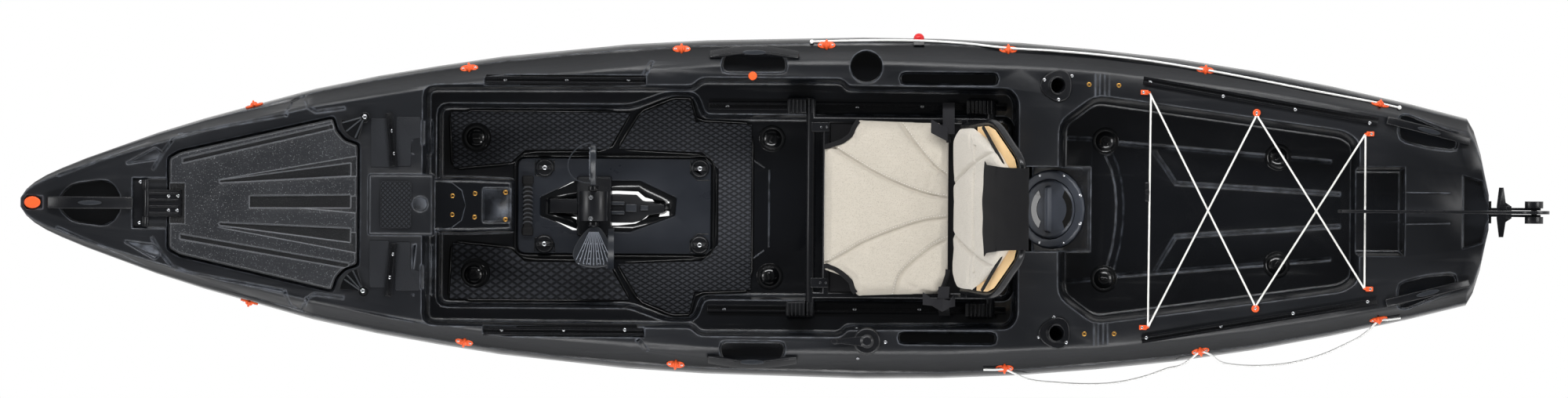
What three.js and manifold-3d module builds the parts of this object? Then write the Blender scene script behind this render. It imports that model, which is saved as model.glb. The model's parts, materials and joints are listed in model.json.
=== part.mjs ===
// Fishing kayak: a pedal driven sit-on-top boat with a framed seat, hatches, tracks and a rudder.
// Millimetres. +X runs from bow to stern, +Y to starboard, +Z up. The origin is under the middle of
// the whole boat, on the floor that it rests on.
import * as THREE from 'three';
import { mergeVertices } from 'three/addons/utils/BufferGeometryUtils.js';
import Module from 'manifold-3d';

const wasm = await Module();
wasm.setup();

// Hull sizes
const hullLength = 3952;
const hullBeam = 921;
const rudderOverhang = 160;
const wall = 6;
const deckHeight = 335;
const bowSheer = 60;
const sternDrop = 14;
const deckCrown = 5;
const bowKeelRise = 300;
const sternKeelRise = 45;
const shelfHeight = 215;
const floorHeight = 100;
const tankFloorHeight = 188;
const sternStepHeight = 250;

// Clearances and cuts
const gap = 0.3;
const runningGap = 1;
const overrun = 60;
const finish = 0.03;
const weld = 0.2;
const tidyPasses = 12;

// Pixel places in the photograph: x along the boat, and distance out from its centreline
const bowPixel = 28;
const transomPixel = 1899;
const halfBeamPixels = 218;
const alongScale = hullLength / (transomPixel - bowPixel);
const acrossScale = hullBeam / 2 / halfBeamPixels;
const bowX = -(hullLength + rudderOverhang) / 2;
const transomX = bowX + hullLength;
const atX = (pixel) => bowX + (pixel - bowPixel) * alongScale;
const atY = (pixel) => pixel * acrossScale;
const at = ([pixelX, pixelOut]) => [atX(pixelX), atY(pixelOut)];
const sides = [['starboard', 1], ['port', -1]];

const part = new THREE.Group();
const full = 2 * Math.PI;

// Materials
const matter = (color, roughness, metalness = 0) => ({ color, roughness, metalness });
const plasticHull = matter(0x24262c, 0.5);
const plasticBlack = matter(0x141518, 0.45);
const plasticLid = matter(0x3a3c40, 0.7);
const plasticGrey = matter(0x4b5058, 0.55);
const foamDark = matter(0x2d2d30, 0.9);
const rubberBlack = matter(0x101012, 0.8);
const orange = matter(0xf05a28, 0.5);
const meshBeige = matter(0xd6d0c6, 0.95);
const fabricBlack = matter(0x1c1c20, 0.95);
const aluminium = matter(0x2b2c2f, 0.4, 0.6);
const ropeWhite = matter(0xebebeb, 0.9);

// Closed solids from triangles, turned to face outwards
function solidOf(positions, indices) {
  let volume = 0;
  const [a, b, c] = [new THREE.Vector3(), new THREE.Vector3(), new THREE.Vector3()];
  for (let i = 0; i < indices.length; i += 3) {
    a.fromArray(positions, 3 * indices[i]);
    b.fromArray(positions, 3 * indices[i + 1]);
    c.fromArray(positions, 3 * indices[i + 2]);
    volume += a.dot(b.cross(c));
  }
  const triangles = new Uint32Array(indices);
  if (volume < 0) {
    for (let i = 0; i < triangles.length; i += 3) {
      [triangles[i + 1], triangles[i + 2]] = [triangles[i + 2], triangles[i + 1]];
    }
  }
  const vertProperties = new Float32Array(positions);
  const mesh = { numProp: 3, vertProperties, triVerts: triangles, tolerance: finish };
  return new wasm.Manifold(new wasm.Mesh(mesh));
}

function solid(geometry) {
  const bare = geometry.clone();
  bare.deleteAttribute('normal');
  bare.deleteAttribute('uv');
  const merged = mergeVertices(bare, hullLength * 1e-8);
  return solidOf(Array.from(merged.attributes.position.array), Array.from(merged.index.array));
}

function geometryOf(body) {
  const mesh = body.getMesh();
  const geometry = new THREE.BufferGeometry();
  const stride = mesh.numProp;
  const position = [];
  for (let i = 0; i < mesh.vertProperties.length; i += stride) {
    position.push(Array.from(mesh.vertProperties.slice(i, i + 3)));
  }
  const faces = [];
  for (let i = 0; i < mesh.triVerts.length; i += 3) {
    faces.push(Array.from(mesh.triVerts.slice(i, i + 3)));
  }
  const kept = new Surface(position, faces).tidied();
  geometry.setAttribute('position', new THREE.BufferAttribute(new Float32Array(position.flat()), 3));
  geometry.setIndex(kept.flat());
  geometry.computeVertexNormals();
  return geometry;
}

// A surface's triangles, tidied without a change of shape: short edges are closed up, corners that lie
// flush in their flat faces are dropped and needle faces are turned
class Surface {
  constructor(position, faces) {
    this.point = position.map((p) => new THREE.Vector3(...p));
    this.faces = faces;
    this.around = this.point.map(() => new Set());
    faces.forEach((face, f) => face.forEach((v) => this.around[v].add(f)));
  }

  triangle(face) {
    return new THREE.Triangle(...face.map((v) => this.point[v]));
  }

  distance(a, b) {
    return this.point[a].distanceTo(this.point[b]);
  }

  neighbours(v) {
    return new Set([...this.around[v]].flatMap((f) => this.faces[f]).filter((u) => u !== v));
  }

  replace(f, face) {
    this.faces[f].forEach((v) => this.around[v].delete(f));
    this.faces[f] = face;
    if (face) face.forEach((v) => this.around[v].add(f));
  }

  turnsOver(f, from, to) {
    const moved = this.triangle(this.faces[f].map((v) => (v === from ? to : v)));
    const before = this.triangle(this.faces[f]).getNormal(new THREE.Vector3());
    const after = moved.getNormal(new THREE.Vector3());
    return moved.getArea() > finish * finish && after.dot(before) < 0.5;
  }

  closeUp(from, to) {
    const others = this.neighbours(to);
    if ([...this.neighbours(from)].filter((v) => others.has(v)).length !== 2) return false;
    const left = [...this.around[from]].filter((f) => !this.faces[f].includes(to));
    if (left.some((f) => this.turnsOver(f, from, to))) return false;
    for (const f of [...this.around[from]]) {
      const face = this.faces[f];
      this.replace(f, face.includes(to) ? null : face.map((v) => (v === from ? to : v)));
    }
    return true;
  }

  flush(from, to) {
    return [...this.around[from]].every((f) => {
      const plane = this.triangle(this.faces[f]).getPlane(new THREE.Plane());
      return Math.abs(plane.distanceToPoint(this.point[to])) < finish;
    });
  }

  turnEdge(f, a, b, c) {
    const g = [...this.around[a]].find((h) => h !== f && this.faces[h].includes(b));
    const d = this.faces[g].find((v) => v !== a && v !== b);
    if (this.neighbours(c).has(d)) return false;
    this.replace(f, [a, d, c]);
    this.replace(g, [d, b, c]);
    return true;
  }

  tidyFace(f) {
    const face = this.faces[f];
    const edges = face.map((a, i) => [a, face[(i + 1) % 3], face[(i + 2) % 3]]);
    edges.sort((p, q) => this.distance(p[0], p[1]) - this.distance(q[0], q[1]));
    const [[a, b], , long] = edges;
    const height = (2 * this.triangle(face).getArea()) / this.distance(long[0], long[1]);
    if (this.distance(a, b) < weld) return this.closeUp(a, b) || this.closeUp(b, a);
    if (height < finish) return this.turnEdge(f, ...long);
    const drop = (from, to) => this.flush(from, to) && this.closeUp(from, to);
    return edges.some(([u, v]) => drop(u, v) || drop(v, u));
  }

  tidied() {
    for (let pass = 0; pass < tidyPasses; pass += 1) {
      let changes = 0;
      for (let f = 0; f < this.faces.length; f += 1) {
        if (this.faces[f] && this.tidyFace(f)) changes += 1;
      }
      if (changes === 0) break;
    }
    return this.faces.filter((face) => face);
  }
}

function add(name, body, look) {
  const material = new THREE.MeshStandardMaterial(look);
  const mesh = new THREE.Mesh(geometryOf(body), material);
  mesh.name = name;
  part.add(mesh);
}

const join = (...bodies) => bodies.reduce((whole, piece) => whole.add(piece));
const cut = (whole, ...bodies) => bodies.reduce((left, piece) => left.subtract(piece), whole);

// Rings of points, joined into a skin and closed by a flat cap at each end
function stack(rings, capAxes = [0, 1]) {
  const count = rings[0].length;
  const positions = rings.flat(2);
  const indices = [];
  for (let r = 0; r + 1 < rings.length; r += 1) {
    for (let i = 0; i < count; i += 1) {
      const j = (i + 1) % count;
      const [p, q] = [r * count, (r + 1) * count];
      indices.push(p + i, p + j, q + j, p + i, q + j, q + i);
    }
  }
  const flat = (ring) => ring.map((point) => [point[capAxes[0]], point[capAxes[1]]]);
  const last = (rings.length - 1) * count;
  for (const [i, j, k] of earClipped(flat(rings[0]))) indices.push(i, k, j);
  for (const [i, j, k] of earClipped(flat(rings[rings.length - 1]))) {
    indices.push(last + i, last + j, last + k);
  }
  return solidOf(positions, indices);
}

// Twice the area of a flat triangle, with its sign
function doubleArea(a, b, c) {
  return (b[0] - a[0]) * (c[1] - a[1]) - (b[1] - a[1]) * (c[0] - a[0]);
}

// Triangles that fill an outline in its own order, with every one of its points as a corner
function earClipped(points) {
  let total = 0;
  points.forEach((point, i) => {
    const next = points[(i + 1) % points.length];
    total += point[0] * next[1] - next[0] * point[1];
  });
  const turn = Math.sign(total);
  const left = points.map((point, i) => i);
  const faces = [];
  const corners = (ear) => ear.map((e) => points[e]);
  const inside = (p, [a, b, c]) => (
    [[a, b], [b, c], [c, a]].every(([u, v]) => turn * doubleArea(u, v, p) >= 0));
  const blocked = (ear) => left.some((i) => !ear.includes(i) && inside(points[i], corners(ear)));
  while (left.length > 3) {
    const count = left.length;
    const ears = left.map((tip, n) => [left[(n + count - 1) % count], tip, left[(n + 1) % count]]);
    const open = ears.filter((ear) => turn * doubleArea(...corners(ear)) > 0);
    const ear = open.find((candidate) => !blocked(candidate)) ?? open[0] ?? ears[0];
    faces.push(ear);
    left.splice(left.indexOf(ear[1]), 1);
  }
  faces.push([...left]);
  return faces;
}

// An outline moved outwards by a distance, corner by corner
function grown(points, distance) {
  const area = THREE.ShapeUtils.area(points.map(([x, y]) => new THREE.Vector2(x, y)));
  const sign = area > 0 ? 1 : -1;
  return points.map((point, i) => {
    const before = points[(i + points.length - 1) % points.length];
    const after = points[(i + 1) % points.length];
    const a = new THREE.Vector2(point[0] - before[0], point[1] - before[1]).normalize();
    const b = new THREE.Vector2(after[0] - point[0], after[1] - point[1]).normalize();
    const normalA = new THREE.Vector2(a.y, -a.x);
    const normalB = new THREE.Vector2(b.y, -b.x);
    const miter = normalA.clone().add(normalB).normalize();
    const stretch = distance / Math.max(miter.dot(normalA), 0.5);
    return [point[0] + sign * miter.x * stretch, point[1] + sign * miter.y * stretch];
  });
}

// The corners of an outline rounded by arcs of a few points
function rounded(points, radius, steps = 3) {
  return points.flatMap((point, i) => {
    const corner = new THREE.Vector2(...point);
    const before = new THREE.Vector2(...points[(i + points.length - 1) % points.length]);
    const after = new THREE.Vector2(...points[(i + 1) % points.length]);
    const reach = Math.min(radius, corner.distanceTo(before) / 2.2, corner.distanceTo(after) / 2.2);
    const start = corner.clone().add(before.sub(corner).setLength(reach));
    const end = corner.clone().add(after.sub(corner).setLength(reach));
    const curve = new THREE.QuadraticBezierCurve(start, corner, end);
    return curve.getPoints(steps).map((p) => [p.x, p.y]);
  });
}

// A half outline given from front to rear on the starboard side, with its mirror image to port
const mirrored = (half) => [...half, ...half.slice().reverse().map(([x, y]) => [x, -y])];
const outlineOf = (halfPixels) => mirrored(halfPixels.map(at));
const handed = (points, side) => points.map(([x, y]) => [x, side * y]);

function rectangle(x0, x1, y0, y1) {
  return [[x0, y0], [x1, y0], [x1, y1], [x0, y1]];
}

// A block with a level or sloping foot and top: levels are pairs of growth and height
function block(outline, levels) {
  return stack(levels.map(([growth, height]) => grown(outline, growth).map(([x, y]) => {
    const z = typeof height === 'function' ? height(x) : height;
    return [x, y, z];
  })));
}
const prism = (outline, low, high) => block(outline, [[0, low], [0, high]]);

function cylinder(radius, length, [x, y, z], axis = 'z', segments = 20, topRadius = radius) {
  const geometry = new THREE.CylinderGeometry(topRadius, radius, length, segments);
  if (axis === 'z') geometry.rotateX(Math.PI / 2);
  if (axis === 'x') geometry.rotateZ(-Math.PI / 2);
  geometry.translate(x, y, z);
  return solid(geometry);
}

function box(x0, x1, y0, y1, z0, z1) {
  const geometry = new THREE.BoxGeometry(x1 - x0, y1 - y0, z1 - z0);
  geometry.translate((x0 + x1) / 2, (y0 + y1) / 2, (z0 + z1) / 2);
  return solid(geometry);
}

// A profile of radius and height, turned about an upright axis
function turnedGeometry(profile, segments) {
  const points = profile.map(([radius, height]) => new THREE.Vector2(radius, height));
  const geometry = new THREE.LatheGeometry(points, segments);
  geometry.rotateX(Math.PI / 2);
  return geometry;
}

function turned(profile, segments, [x, y, z]) {
  const geometry = turnedGeometry(profile, segments);
  geometry.translate(x, y, z);
  return solid(geometry);
}

function leaned(geometry, [x, y, z], lean) {
  geometry.rotateY(lean);
  geometry.translate(x, y, z);
  return solid(geometry);
}

function tube(points, radius, tubeSides, steps) {
  const section = new THREE.Shape();
  for (let i = 0; i < tubeSides; i += 1) {
    const angle = (full * i) / tubeSides;
    const [x, y] = [radius * Math.cos(angle), radius * Math.sin(angle)];
    if (i === 0) section.moveTo(x, y);
    else section.lineTo(x, y);
  }
  const route = points.map((p) => new THREE.Vector3(...p));
  const path = new THREE.CatmullRomCurve3(route, false, 'centripetal');
  return solid(new THREE.ExtrudeGeometry(section, { steps, extrudePath: path, bevelEnabled: false }));
}

// Hull form: breadth along the boat, and the shape of one section
const breadthShares = [
  [0, 0.03], [0.0037, 0.078], [0.0091, 0.119], [0.0171, 0.161], [0.0278, 0.204], [0.0438, 0.261],
  [0.0652, 0.33], [0.0919, 0.413], [0.124, 0.5], [0.156, 0.576], [0.199, 0.677], [0.242, 0.755],
  [0.284, 0.817], [0.327, 0.874], [0.37, 0.915], [0.4126, 0.95], [0.466, 0.977], [0.5195, 0.993],
  [0.573, 1], [0.626, 0.995], [0.68, 0.975], [0.733, 0.938], [0.787, 0.888], [0.84, 0.819],
  [0.8936, 0.732], [0.947, 0.631], [0.979, 0.562], [0.9856, 0.548], [0.99, 0.482], [0.995, 0.339],
  [1, 0.12],
];
const crownShare = 0.42;
const sectionShares = [
  [0.4, 0], [0.7, 0.05], [0.88, 0.17], [0.965, 0.42], [1, 0.7], [0.987, 0.79], [0.968, 0.835],
  [0.945, 0.845], [0.868, 0.98], [0.84, 1], [crownShare, 1],
];
const bowRiseShare = 0.22;
const sheerShare = 0.45;
const sternRiseShare = 0.85;
const sternDropShare = 0.7;

function deckAt(x) {
  const share = (x - bowX) / hullLength;
  const sheer = bowSheer * Math.max(0, 1 - share / sheerShare) ** 2;
  const drop = sternDrop * Math.max(0, (share - sternDropShare) / (1 - sternDropShare)) ** 2;
  return deckHeight + sheer - drop;
}

// The top of the deck at a place, with its crown along the middle
function deckTop(x, y) {
  const breadth = breadthAt((x - bowX) / hullLength);
  const crownHalf = (crownShare * breadth * hullBeam) / 2;
  return deckAt(x) + deckCrown * Math.min(breadth, 1) * Math.max(0, 1 - Math.abs(y) / crownHalf);
}

function keelAt(share) {
  const bow = bowKeelRise * Math.max(0, 1 - share / bowRiseShare) ** 3;
  const stern = sternKeelRise * Math.max(0, (share - sternRiseShare) / (1 - sternRiseShare)) ** 2;
  return bow + stern;
}

function breadthAt(share) {
  let i = 1;
  while (i < breadthShares.length - 1 && breadthShares[i][0] < share) i += 1;
  const [a, b] = [breadthShares[i - 1], breadthShares[i]];
  return a[1] + ((share - a[0]) / (b[0] - a[0])) * (b[1] - a[1]);
}

function sectionRing(share, breadth, inset) {
  const half = Math.max((breadth * hullBeam) / 2 - inset, wall / 4);
  const x = bowX + Math.min(Math.max(share * hullLength, inset), hullLength - inset);
  const low = keelAt(share) + inset;
  const high = deckAt(x) - inset;
  const starboard = sectionShares.map(([out, up]) => [x, out * half, low + up * (high - low)]);
  const port = starboard.slice().reverse().map(([px, y, z]) => [px, -y, z]);
  return [[x, 0, low], ...starboard, [x, 0, high + deckCrown * Math.min(breadth, 1)], ...port];
}

function hullForm(inset, step) {
  const curve = breadthShares.filter((pair, i) => i % step === 0 || i === breadthShares.length - 1);
  return stack(curve.map(([share, breadth]) => sectionRing(share, breadth, inset)), [1, 2]);
}

// The height of the hull's outside at a place on its sloping shoulder or deck
function shoulderAt(x, y) {
  const share = (x - bowX) / hullLength;
  const half = (breadthAt(share) * hullBeam) / 2;
  const low = keelAt(share);
  const high = deckAt(x);
  const out = Math.abs(y) / half;
  const rising = sectionShares.slice(4);
  for (let i = 0; i + 1 < rising.length; i += 1) {
    const [a, b] = [rising[i], rising[i + 1]];
    if (out <= a[0] && out >= b[0]) {
      const t = (a[0] - out) / (a[0] - b[0]);
      return low + (a[1] + t * (b[1] - a[1])) * (high - low);
    }
  }
  return high + deckCrown;
}

// Wells and recesses of the deck, as half outlines in pixel places
const cockpitPixels = [
  [545, 148], [884, 150], [894, 160], [1072, 160], [1080, 151], [1286, 149], [1294, 138],
];
const lowerWellPixels = [
  [560, 126], [804, 126], [850, 143], [886, 143], [896, 114], [1284, 114], [1290, 106],
];
const tankPixels = [[1358, 108], [1398, 138], [1712, 96], [1727, 86]];
const sternStepPixels = [[1716, 53], [1788, 53]];
const tunnelPixels = [[672, 52], [895, 52]];
const lidPixels = [[217, 57], [231, 65], [424, 109], [429, 93], [440, 81], [456, 76]];
const lidNotchPixels = [[208, 26], [237, 26]];
const hatchOpeningPixels = [[246, 46], [414, 88], [424, 74], [440, 62]];
const trayPixels = [[470, 39], [553, 39]];
const consolePixels = [[540, 33], [597, 33], [652, 31]];
const hatchBlockPixels = [[1292, 54], [1392, 54]];
const frontTrackPixels = { start: 616, end: 824, out: 160, bedHalf: 8 };
const tankHoleOut = 87;
const scupperPixels = [[605, 87], [984, 87], [1411, tankHoleOut], [1632, 68]];
const cupPixels = [1104, 180];
const pocketPixels = { start: 1146, end: 1273, inner: 157, outer: 174 };
const sideRecessPixels = [[918, 170], [918, 190], [930, 205], [990, 205], [1004, 190], [1004, 170]];
const bowRecessPixels = [[76, 8], [92, 25], [140, 31], [156, 12]];
const plugRecessPixels = [[31, 4], [36, 10], [57, 9]];
const hingeRecessPixels = [[169, 33], [218, 33]];
const sternRecessPixels = [[1782, 90], [1782, 124], [1794, 127], [1860, 99], [1860, 76], [1820, 80]];
const bracketRecessPixels = [[1865, 8], [1865, 48], [1892, 40], [1900, 8]];
const troughPixels = { starts: [1395, 1407], width: 8, inner: 143, outer: 186 };
const boxRecessPixels = { start: 537, end: 549, inner: 76, outer: 108 };

// Depths of the wells and recesses
const wellDraft = 14;
const lipRound = 5;
const lidRecessDepth = 26;
const lidClearance = 5;
const trackRecessDepth = 12;
const handleRecessDepth = 34;
const bowRecessDepth = 38;
const plugRecessDepth = 8;
const hingeRecessDepth = 12;
const cupRadius = 44;
const cupDepth = 85;
const pocketDepth = 62;
const scupperRadius = 21;
const trayHeight = 12;
const consoleHeight = 236;
const consoleStep = 34;
const plateSlope = 33 * Math.PI / 180;
const hatchBlockTop = 318;
const grooveDepth = 3;
const bracketRecessDepth = 14;
const cornerRound = 22;
const smallRound = 8;

const lidPlane = (() => {
  const [front, rear] = [atX(lidPixels[0][0]), atX(lidPixels[5][0])];
  const slope = (deckAt(rear) - deckAt(front)) / (rear - front);
  return { front, slope, height: (x) => deckAt(front) + slope * (x - front) };
})();

// A well of the given inset: the inside skin takes it larger and deeper by the wall
function well(outline, floor, inset, draft = wellDraft, top = deckHeight + bowSheer) {
  const lip = draft + inset;
  if (inset > 0) {
    return block(outline, [
      [inset, floor - inset], [lip + lipRound, deckHeight], [lip + lipRound, top + overrun],
    ]);
  }
  return block(outline, [
    [inset - lipRound, floor - inset], [inset, floor - inset + lipRound],
    [lip, deckHeight - 2 * lipRound], [lip + lipRound, deckHeight + inset + deckCrown],
    [lip + lipRound, top + overrun],
  ]);
}

// Corners are rounded on the outside only, so the inside skin stays a plain one
const eased = (outline, radius, inset, steps = 3) => (inset > 0 ? outline : rounded(outline, radius, steps));

function lowerWell(inset) {
  const outline = eased(outlineOf(lowerWellPixels), cornerRound, inset);
  const upper = [inset + wellDraft, shelfHeight + overrun];
  if (inset > 0) return block(outline, [[inset, floorHeight - inset], upper]);
  return block(outline, [[-lipRound, floorHeight], [0, floorHeight + lipRound], upper]);
}

function recess(outline, depth, inset, draft = smallRound) {
  return block(outline, [
    [inset - draft / 2, (x) => deckAt(x) - depth - inset],
    [inset + draft / 2, (x) => deckAt(x) + overrun],
  ]);
}

// The slanted plate behind the seat: where its surface lies at a height, for a skin of this inset
function slantX(height, inset) {
  const foot = shelfHeight - consoleStep;
  const run = (height - foot) / Math.tan(plateSlope);
  return atX(hatchBlockPixels[0][0]) + run + inset / Math.sin(plateSlope);
}

const slab = (profile, half) => stack([-half, half].map((y) => profile.map(([x, z]) => [x, y, z])), [0, 2]);

function slantedBlock(inset) {
  const rear = atX(hatchBlockPixels[1][0]) - inset;
  const foot = shelfHeight - consoleStep;
  const low = floorHeight - 2 * wall;
  const top = hatchBlockTop - inset;
  const front = slantX(foot, inset);
  const profile = [[front, low], [front, foot], [slantX(top, inset), top], [rear + overrun, top]];
  const shortened = profile.map(([x, z]) => [Math.min(x, rear), z]);
  return slab([...shortened, [rear, low]], atY(hatchBlockPixels[0][1]) - inset);
}

function slantedCut(inset) {
  const [low, top] = [shelfHeight, deckHeight + overrun];
  const front = slantX(low, 0) - overrun;
  const profile = [[front, low], [slantX(low, inset), low], [slantX(top, inset), top], [front, top]];
  return slab(profile, atY(hatchBlockPixels[0][1]) + inset);
}

function middleWells(inset) {
  const lidLedge = eased(grown(outlineOf(lidPixels), lidClearance), smallRound, inset, 2);
  return [
    well(eased(outlineOf(cockpitPixels), cornerRound, inset), shelfHeight, inset, smallRound),
    lowerWell(inset),
    well(eased(outlineOf(tankPixels), cornerRound, inset), tankFloorHeight, inset),
    well(outlineOf(sternStepPixels), sternStepHeight, inset, smallRound),
    slantedCut(inset),
    prism(grown(outlineOf(tunnelPixels), inset), -overrun, floorHeight + overrun / 2),
    block(lidLedge, [
      [inset, (x) => lidPlane.height(x) - lidRecessDepth - inset],
      [inset + smallRound, (x) => lidPlane.height(x) + overrun],
    ]),
    recess(eased(outlineOf(bowRecessPixels), cornerRound, inset, 2), bowRecessDepth, inset),
    recess(outlineOf(plugRecessPixels), plugRecessDepth, inset, lipRound),
    recess(outlineOf(hingeRecessPixels), hingeRecessDepth, inset, lipRound),
    recess(outlineOf(bracketRecessPixels), bracketRecessDepth, inset, lipRound),
  ];
}

// A straight bed in the deck, from pixel places along and out
const bedOutline = ({ start, end, inner, outer }) => (
  rectangle(atX(start), atX(end), atY(inner), atY(outer)));

function sideWells(side, inset) {
  const dig = (outline, depth, draft) => recess(handed(outline, side), depth, inset, draft);
  const { start, end, out } = frontTrackPixels;
  const half = frontTrackPixels.bedHalf;
  const bed = bedOutline({ start, end, inner: out - half, outer: out + half });
  const wells = [
    dig(bed, trackRecessDepth, lipRound),
    dig(eased(bedOutline(pocketPixels), cornerRound, inset, 2), pocketDepth, lipRound),
    dig(bedOutline(boxRecessPixels), pocketDepth / 2, lipRound),
    dig(eased(sideRecessPixels.map(at), cornerRound, inset, 2), handleRecessDepth, smallRound),
    dig(eased(sternRecessPixels.map(at), cornerRound, inset, 2), handleRecessDepth, smallRound),
  ];
  for (const [x, y] of scupperPixels.map(at)) {
    const segments = inset > 0 ? 8 : 14;
    wells.push(cylinder(scupperRadius + inset, 2 * deckHeight, [x, side * y, 0], 'z', segments));
  }
  if (inset > 0) return wells;
  const { inner, outer, width } = troughPixels;
  return [...wells, ...troughPixels.starts.map((from) => (
    dig(bedOutline({ start: from, end: from + width, inner, outer }), grooveDepth, lipRound)))];
}

function cupWell(inset) {
  const [x, y] = at(cupPixels);
  return cylinder(cupRadius + inset, 2 * (cupDepth + inset), [x, y, deckHeight], 'z', inset > 0 ? 12 : 24);
}

// The tray and the console stand on the deck and the footwell floor, hollow like the hull
function raisedBlocks(inset) {
  const trayTop = (x) => deckAt(x) + trayHeight - inset;
  const tray = block(eased(outlineOf(trayPixels), smallRound, inset), [
    [-inset, floorHeight + overrun], [-inset, (x) => trayTop(x) - lipRound],
    [-lipRound - inset, trayTop],
  ]);
  const console = block(eased(outlineOf(consolePixels), smallRound, inset), [
    [wellDraft / 2 - inset, floorHeight - inset - wall / 2], [-inset, consoleHeight - lipRound - inset],
    [-lipRound - inset, consoleHeight - inset],
  ]);
  return [tray, console, slantedBlock(inset)];
}

function skin(inset) {
  const wells = sides.flatMap(([, side]) => sideWells(side, inset));
  const body = cut(hullForm(inset, inset > 0 ? 2 : 1), ...middleWells(inset), ...wells, cupWell(inset));
  return join(body, ...raisedBlocks(inset));
}

// Round hatch on the slanted plate behind the seat
const ringRadius = 107;
const ringBore = 82;
const ringHeight = 12;
const roundLidRadius = 80;
const roundLidHeight = 16;
const barWidth = 22;
const barHeight = 14;
const roundHatch = (() => {
  const front = atX(hatchBlockPixels[0][0]);
  const foot = shelfHeight - consoleStep;
  const reach = (hatchBlockTop - foot) / Math.sin(plateSlope) / 2;
  return {
    x: front + reach * Math.cos(plateSlope),
    z: foot + reach * Math.sin(plateSlope),
    lean: -plateSlope,
  };
})();

// Rod holders
const rodPixels = [1347, 158];
const rodLean = 20 * Math.PI / 180;
const rodBore = 21;
const rodTubeRadius = 24.5;
const rodTubeLength = 190;
const rodFlangeRadius = 46;
const rodFlangeHeight = 5;
const rodPlace = (side) => [atX(rodPixels[0]), side * atY(rodPixels[1]), deckAt(atX(rodPixels[0])) + gap];

function hull() {
  let body = cut(skin(0), skin(wall));
  const opening = prism(rounded(outlineOf(hatchOpeningPixels), smallRound, 2), deckHeight - overrun,
    deckHeight + bowSheer + overrun);
  const hatchHole = new THREE.CylinderGeometry(ringBore - wall, ringBore - wall, overrun, 24);
  hatchHole.rotateX(Math.PI / 2);
  body = cut(body, opening, leaned(hatchHole, [roundHatch.x, 0, roundHatch.z], roundHatch.lean));
  for (const [, side] of sides) {
    const hole = new THREE.CylinderGeometry(rodTubeRadius + runningGap, rodTubeRadius + runningGap,
      2 * overrun, 20);
    hole.rotateX(Math.PI / 2);
    body = cut(body, leaned(hole, rodPlace(side), rodLean));
  }
  return body;
}
add('hull', hull(), plasticHull);

// Bow hatch: a ribbed lid that rests on its ledge, hinged at the front, with two turning latches
const lidShell = 7;
const lidRise = 14;
const lidFlange = 8;
const channelDepth = 3;
const channelPixels = [
  [[278, 30], [457, 62], [457, 36]], [[319, 0], [457, 11], [457, -11]], [[278, -30], [457, -62], [457, -36]],
];
const hingePixel = 188;
const hingeRadius = 7;
const pinRadius = 3;
const hingeLeafHalfPixels = 17;
const hingeBaseHalfPixels = 30;
const leafEndPixel = 232;
const leafThickness = 4;
const leafRibShares = [-0.75, -0.25, 0.25, 0.75];
const latchPixels = [465, 111];
const latchReach = 64;
const latchHub = 14;
const latchThickness = 8;
const latchLift = 3;
const latchSweep = [186, 254].map((degrees) => degrees * Math.PI / 180);
const hingeAxis = { x: atX(hingePixel), z: lidPlane.height(atX(hingePixel)) };

function bowHatchLid() {
  const outline = rounded(outlineOf(lidPixels), smallRound, 2);
  const { height } = lidPlane;
  const foot = (x) => height(x) - lidRecessDepth;
  const shell = block(outline, [
    [0, (x) => foot(x) + gap], [0, (x) => height(x) + lidRise - lipRound],
    [-lipRound, (x) => height(x) + lidRise],
  ]);
  const hollow = block(outlineOf(lidPixels), [
    [-lidShell, (x) => foot(x) - overrun], [-2 * lidShell, (x) => height(x) + lidRise - lidShell],
  ]);
  const notch = block(outlineOf(lidNotchPixels), [
    [0, (x) => height(x) - lidFlange], [0, (x) => height(x) + overrun],
  ]);
  const flange = block(grown(outlineOf(lidNotchPixels), lidShell), [
    [0, (x) => height(x) - lidFlange - lidShell], [0, (x) => height(x) + lidRise - lidShell / 2],
  ]);
  const channels = channelPixels.map((corners) => block(corners.map(at), [
    [0, (x) => height(x) + lidRise - channelDepth], [0, (x) => height(x) + overrun],
  ]));
  const pocket = block(outlineOf(lidNotchPixels), [
    [-runningGap, (x) => foot(x) - overrun], [-runningGap, (x) => height(x) - lidFlange - lidShell],
  ]);
  const solidLid = cut(shell, hollow).add(flange.intersect(shell));
  return cut(solidLid, notch, pocket, ...channels);
}

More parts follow.
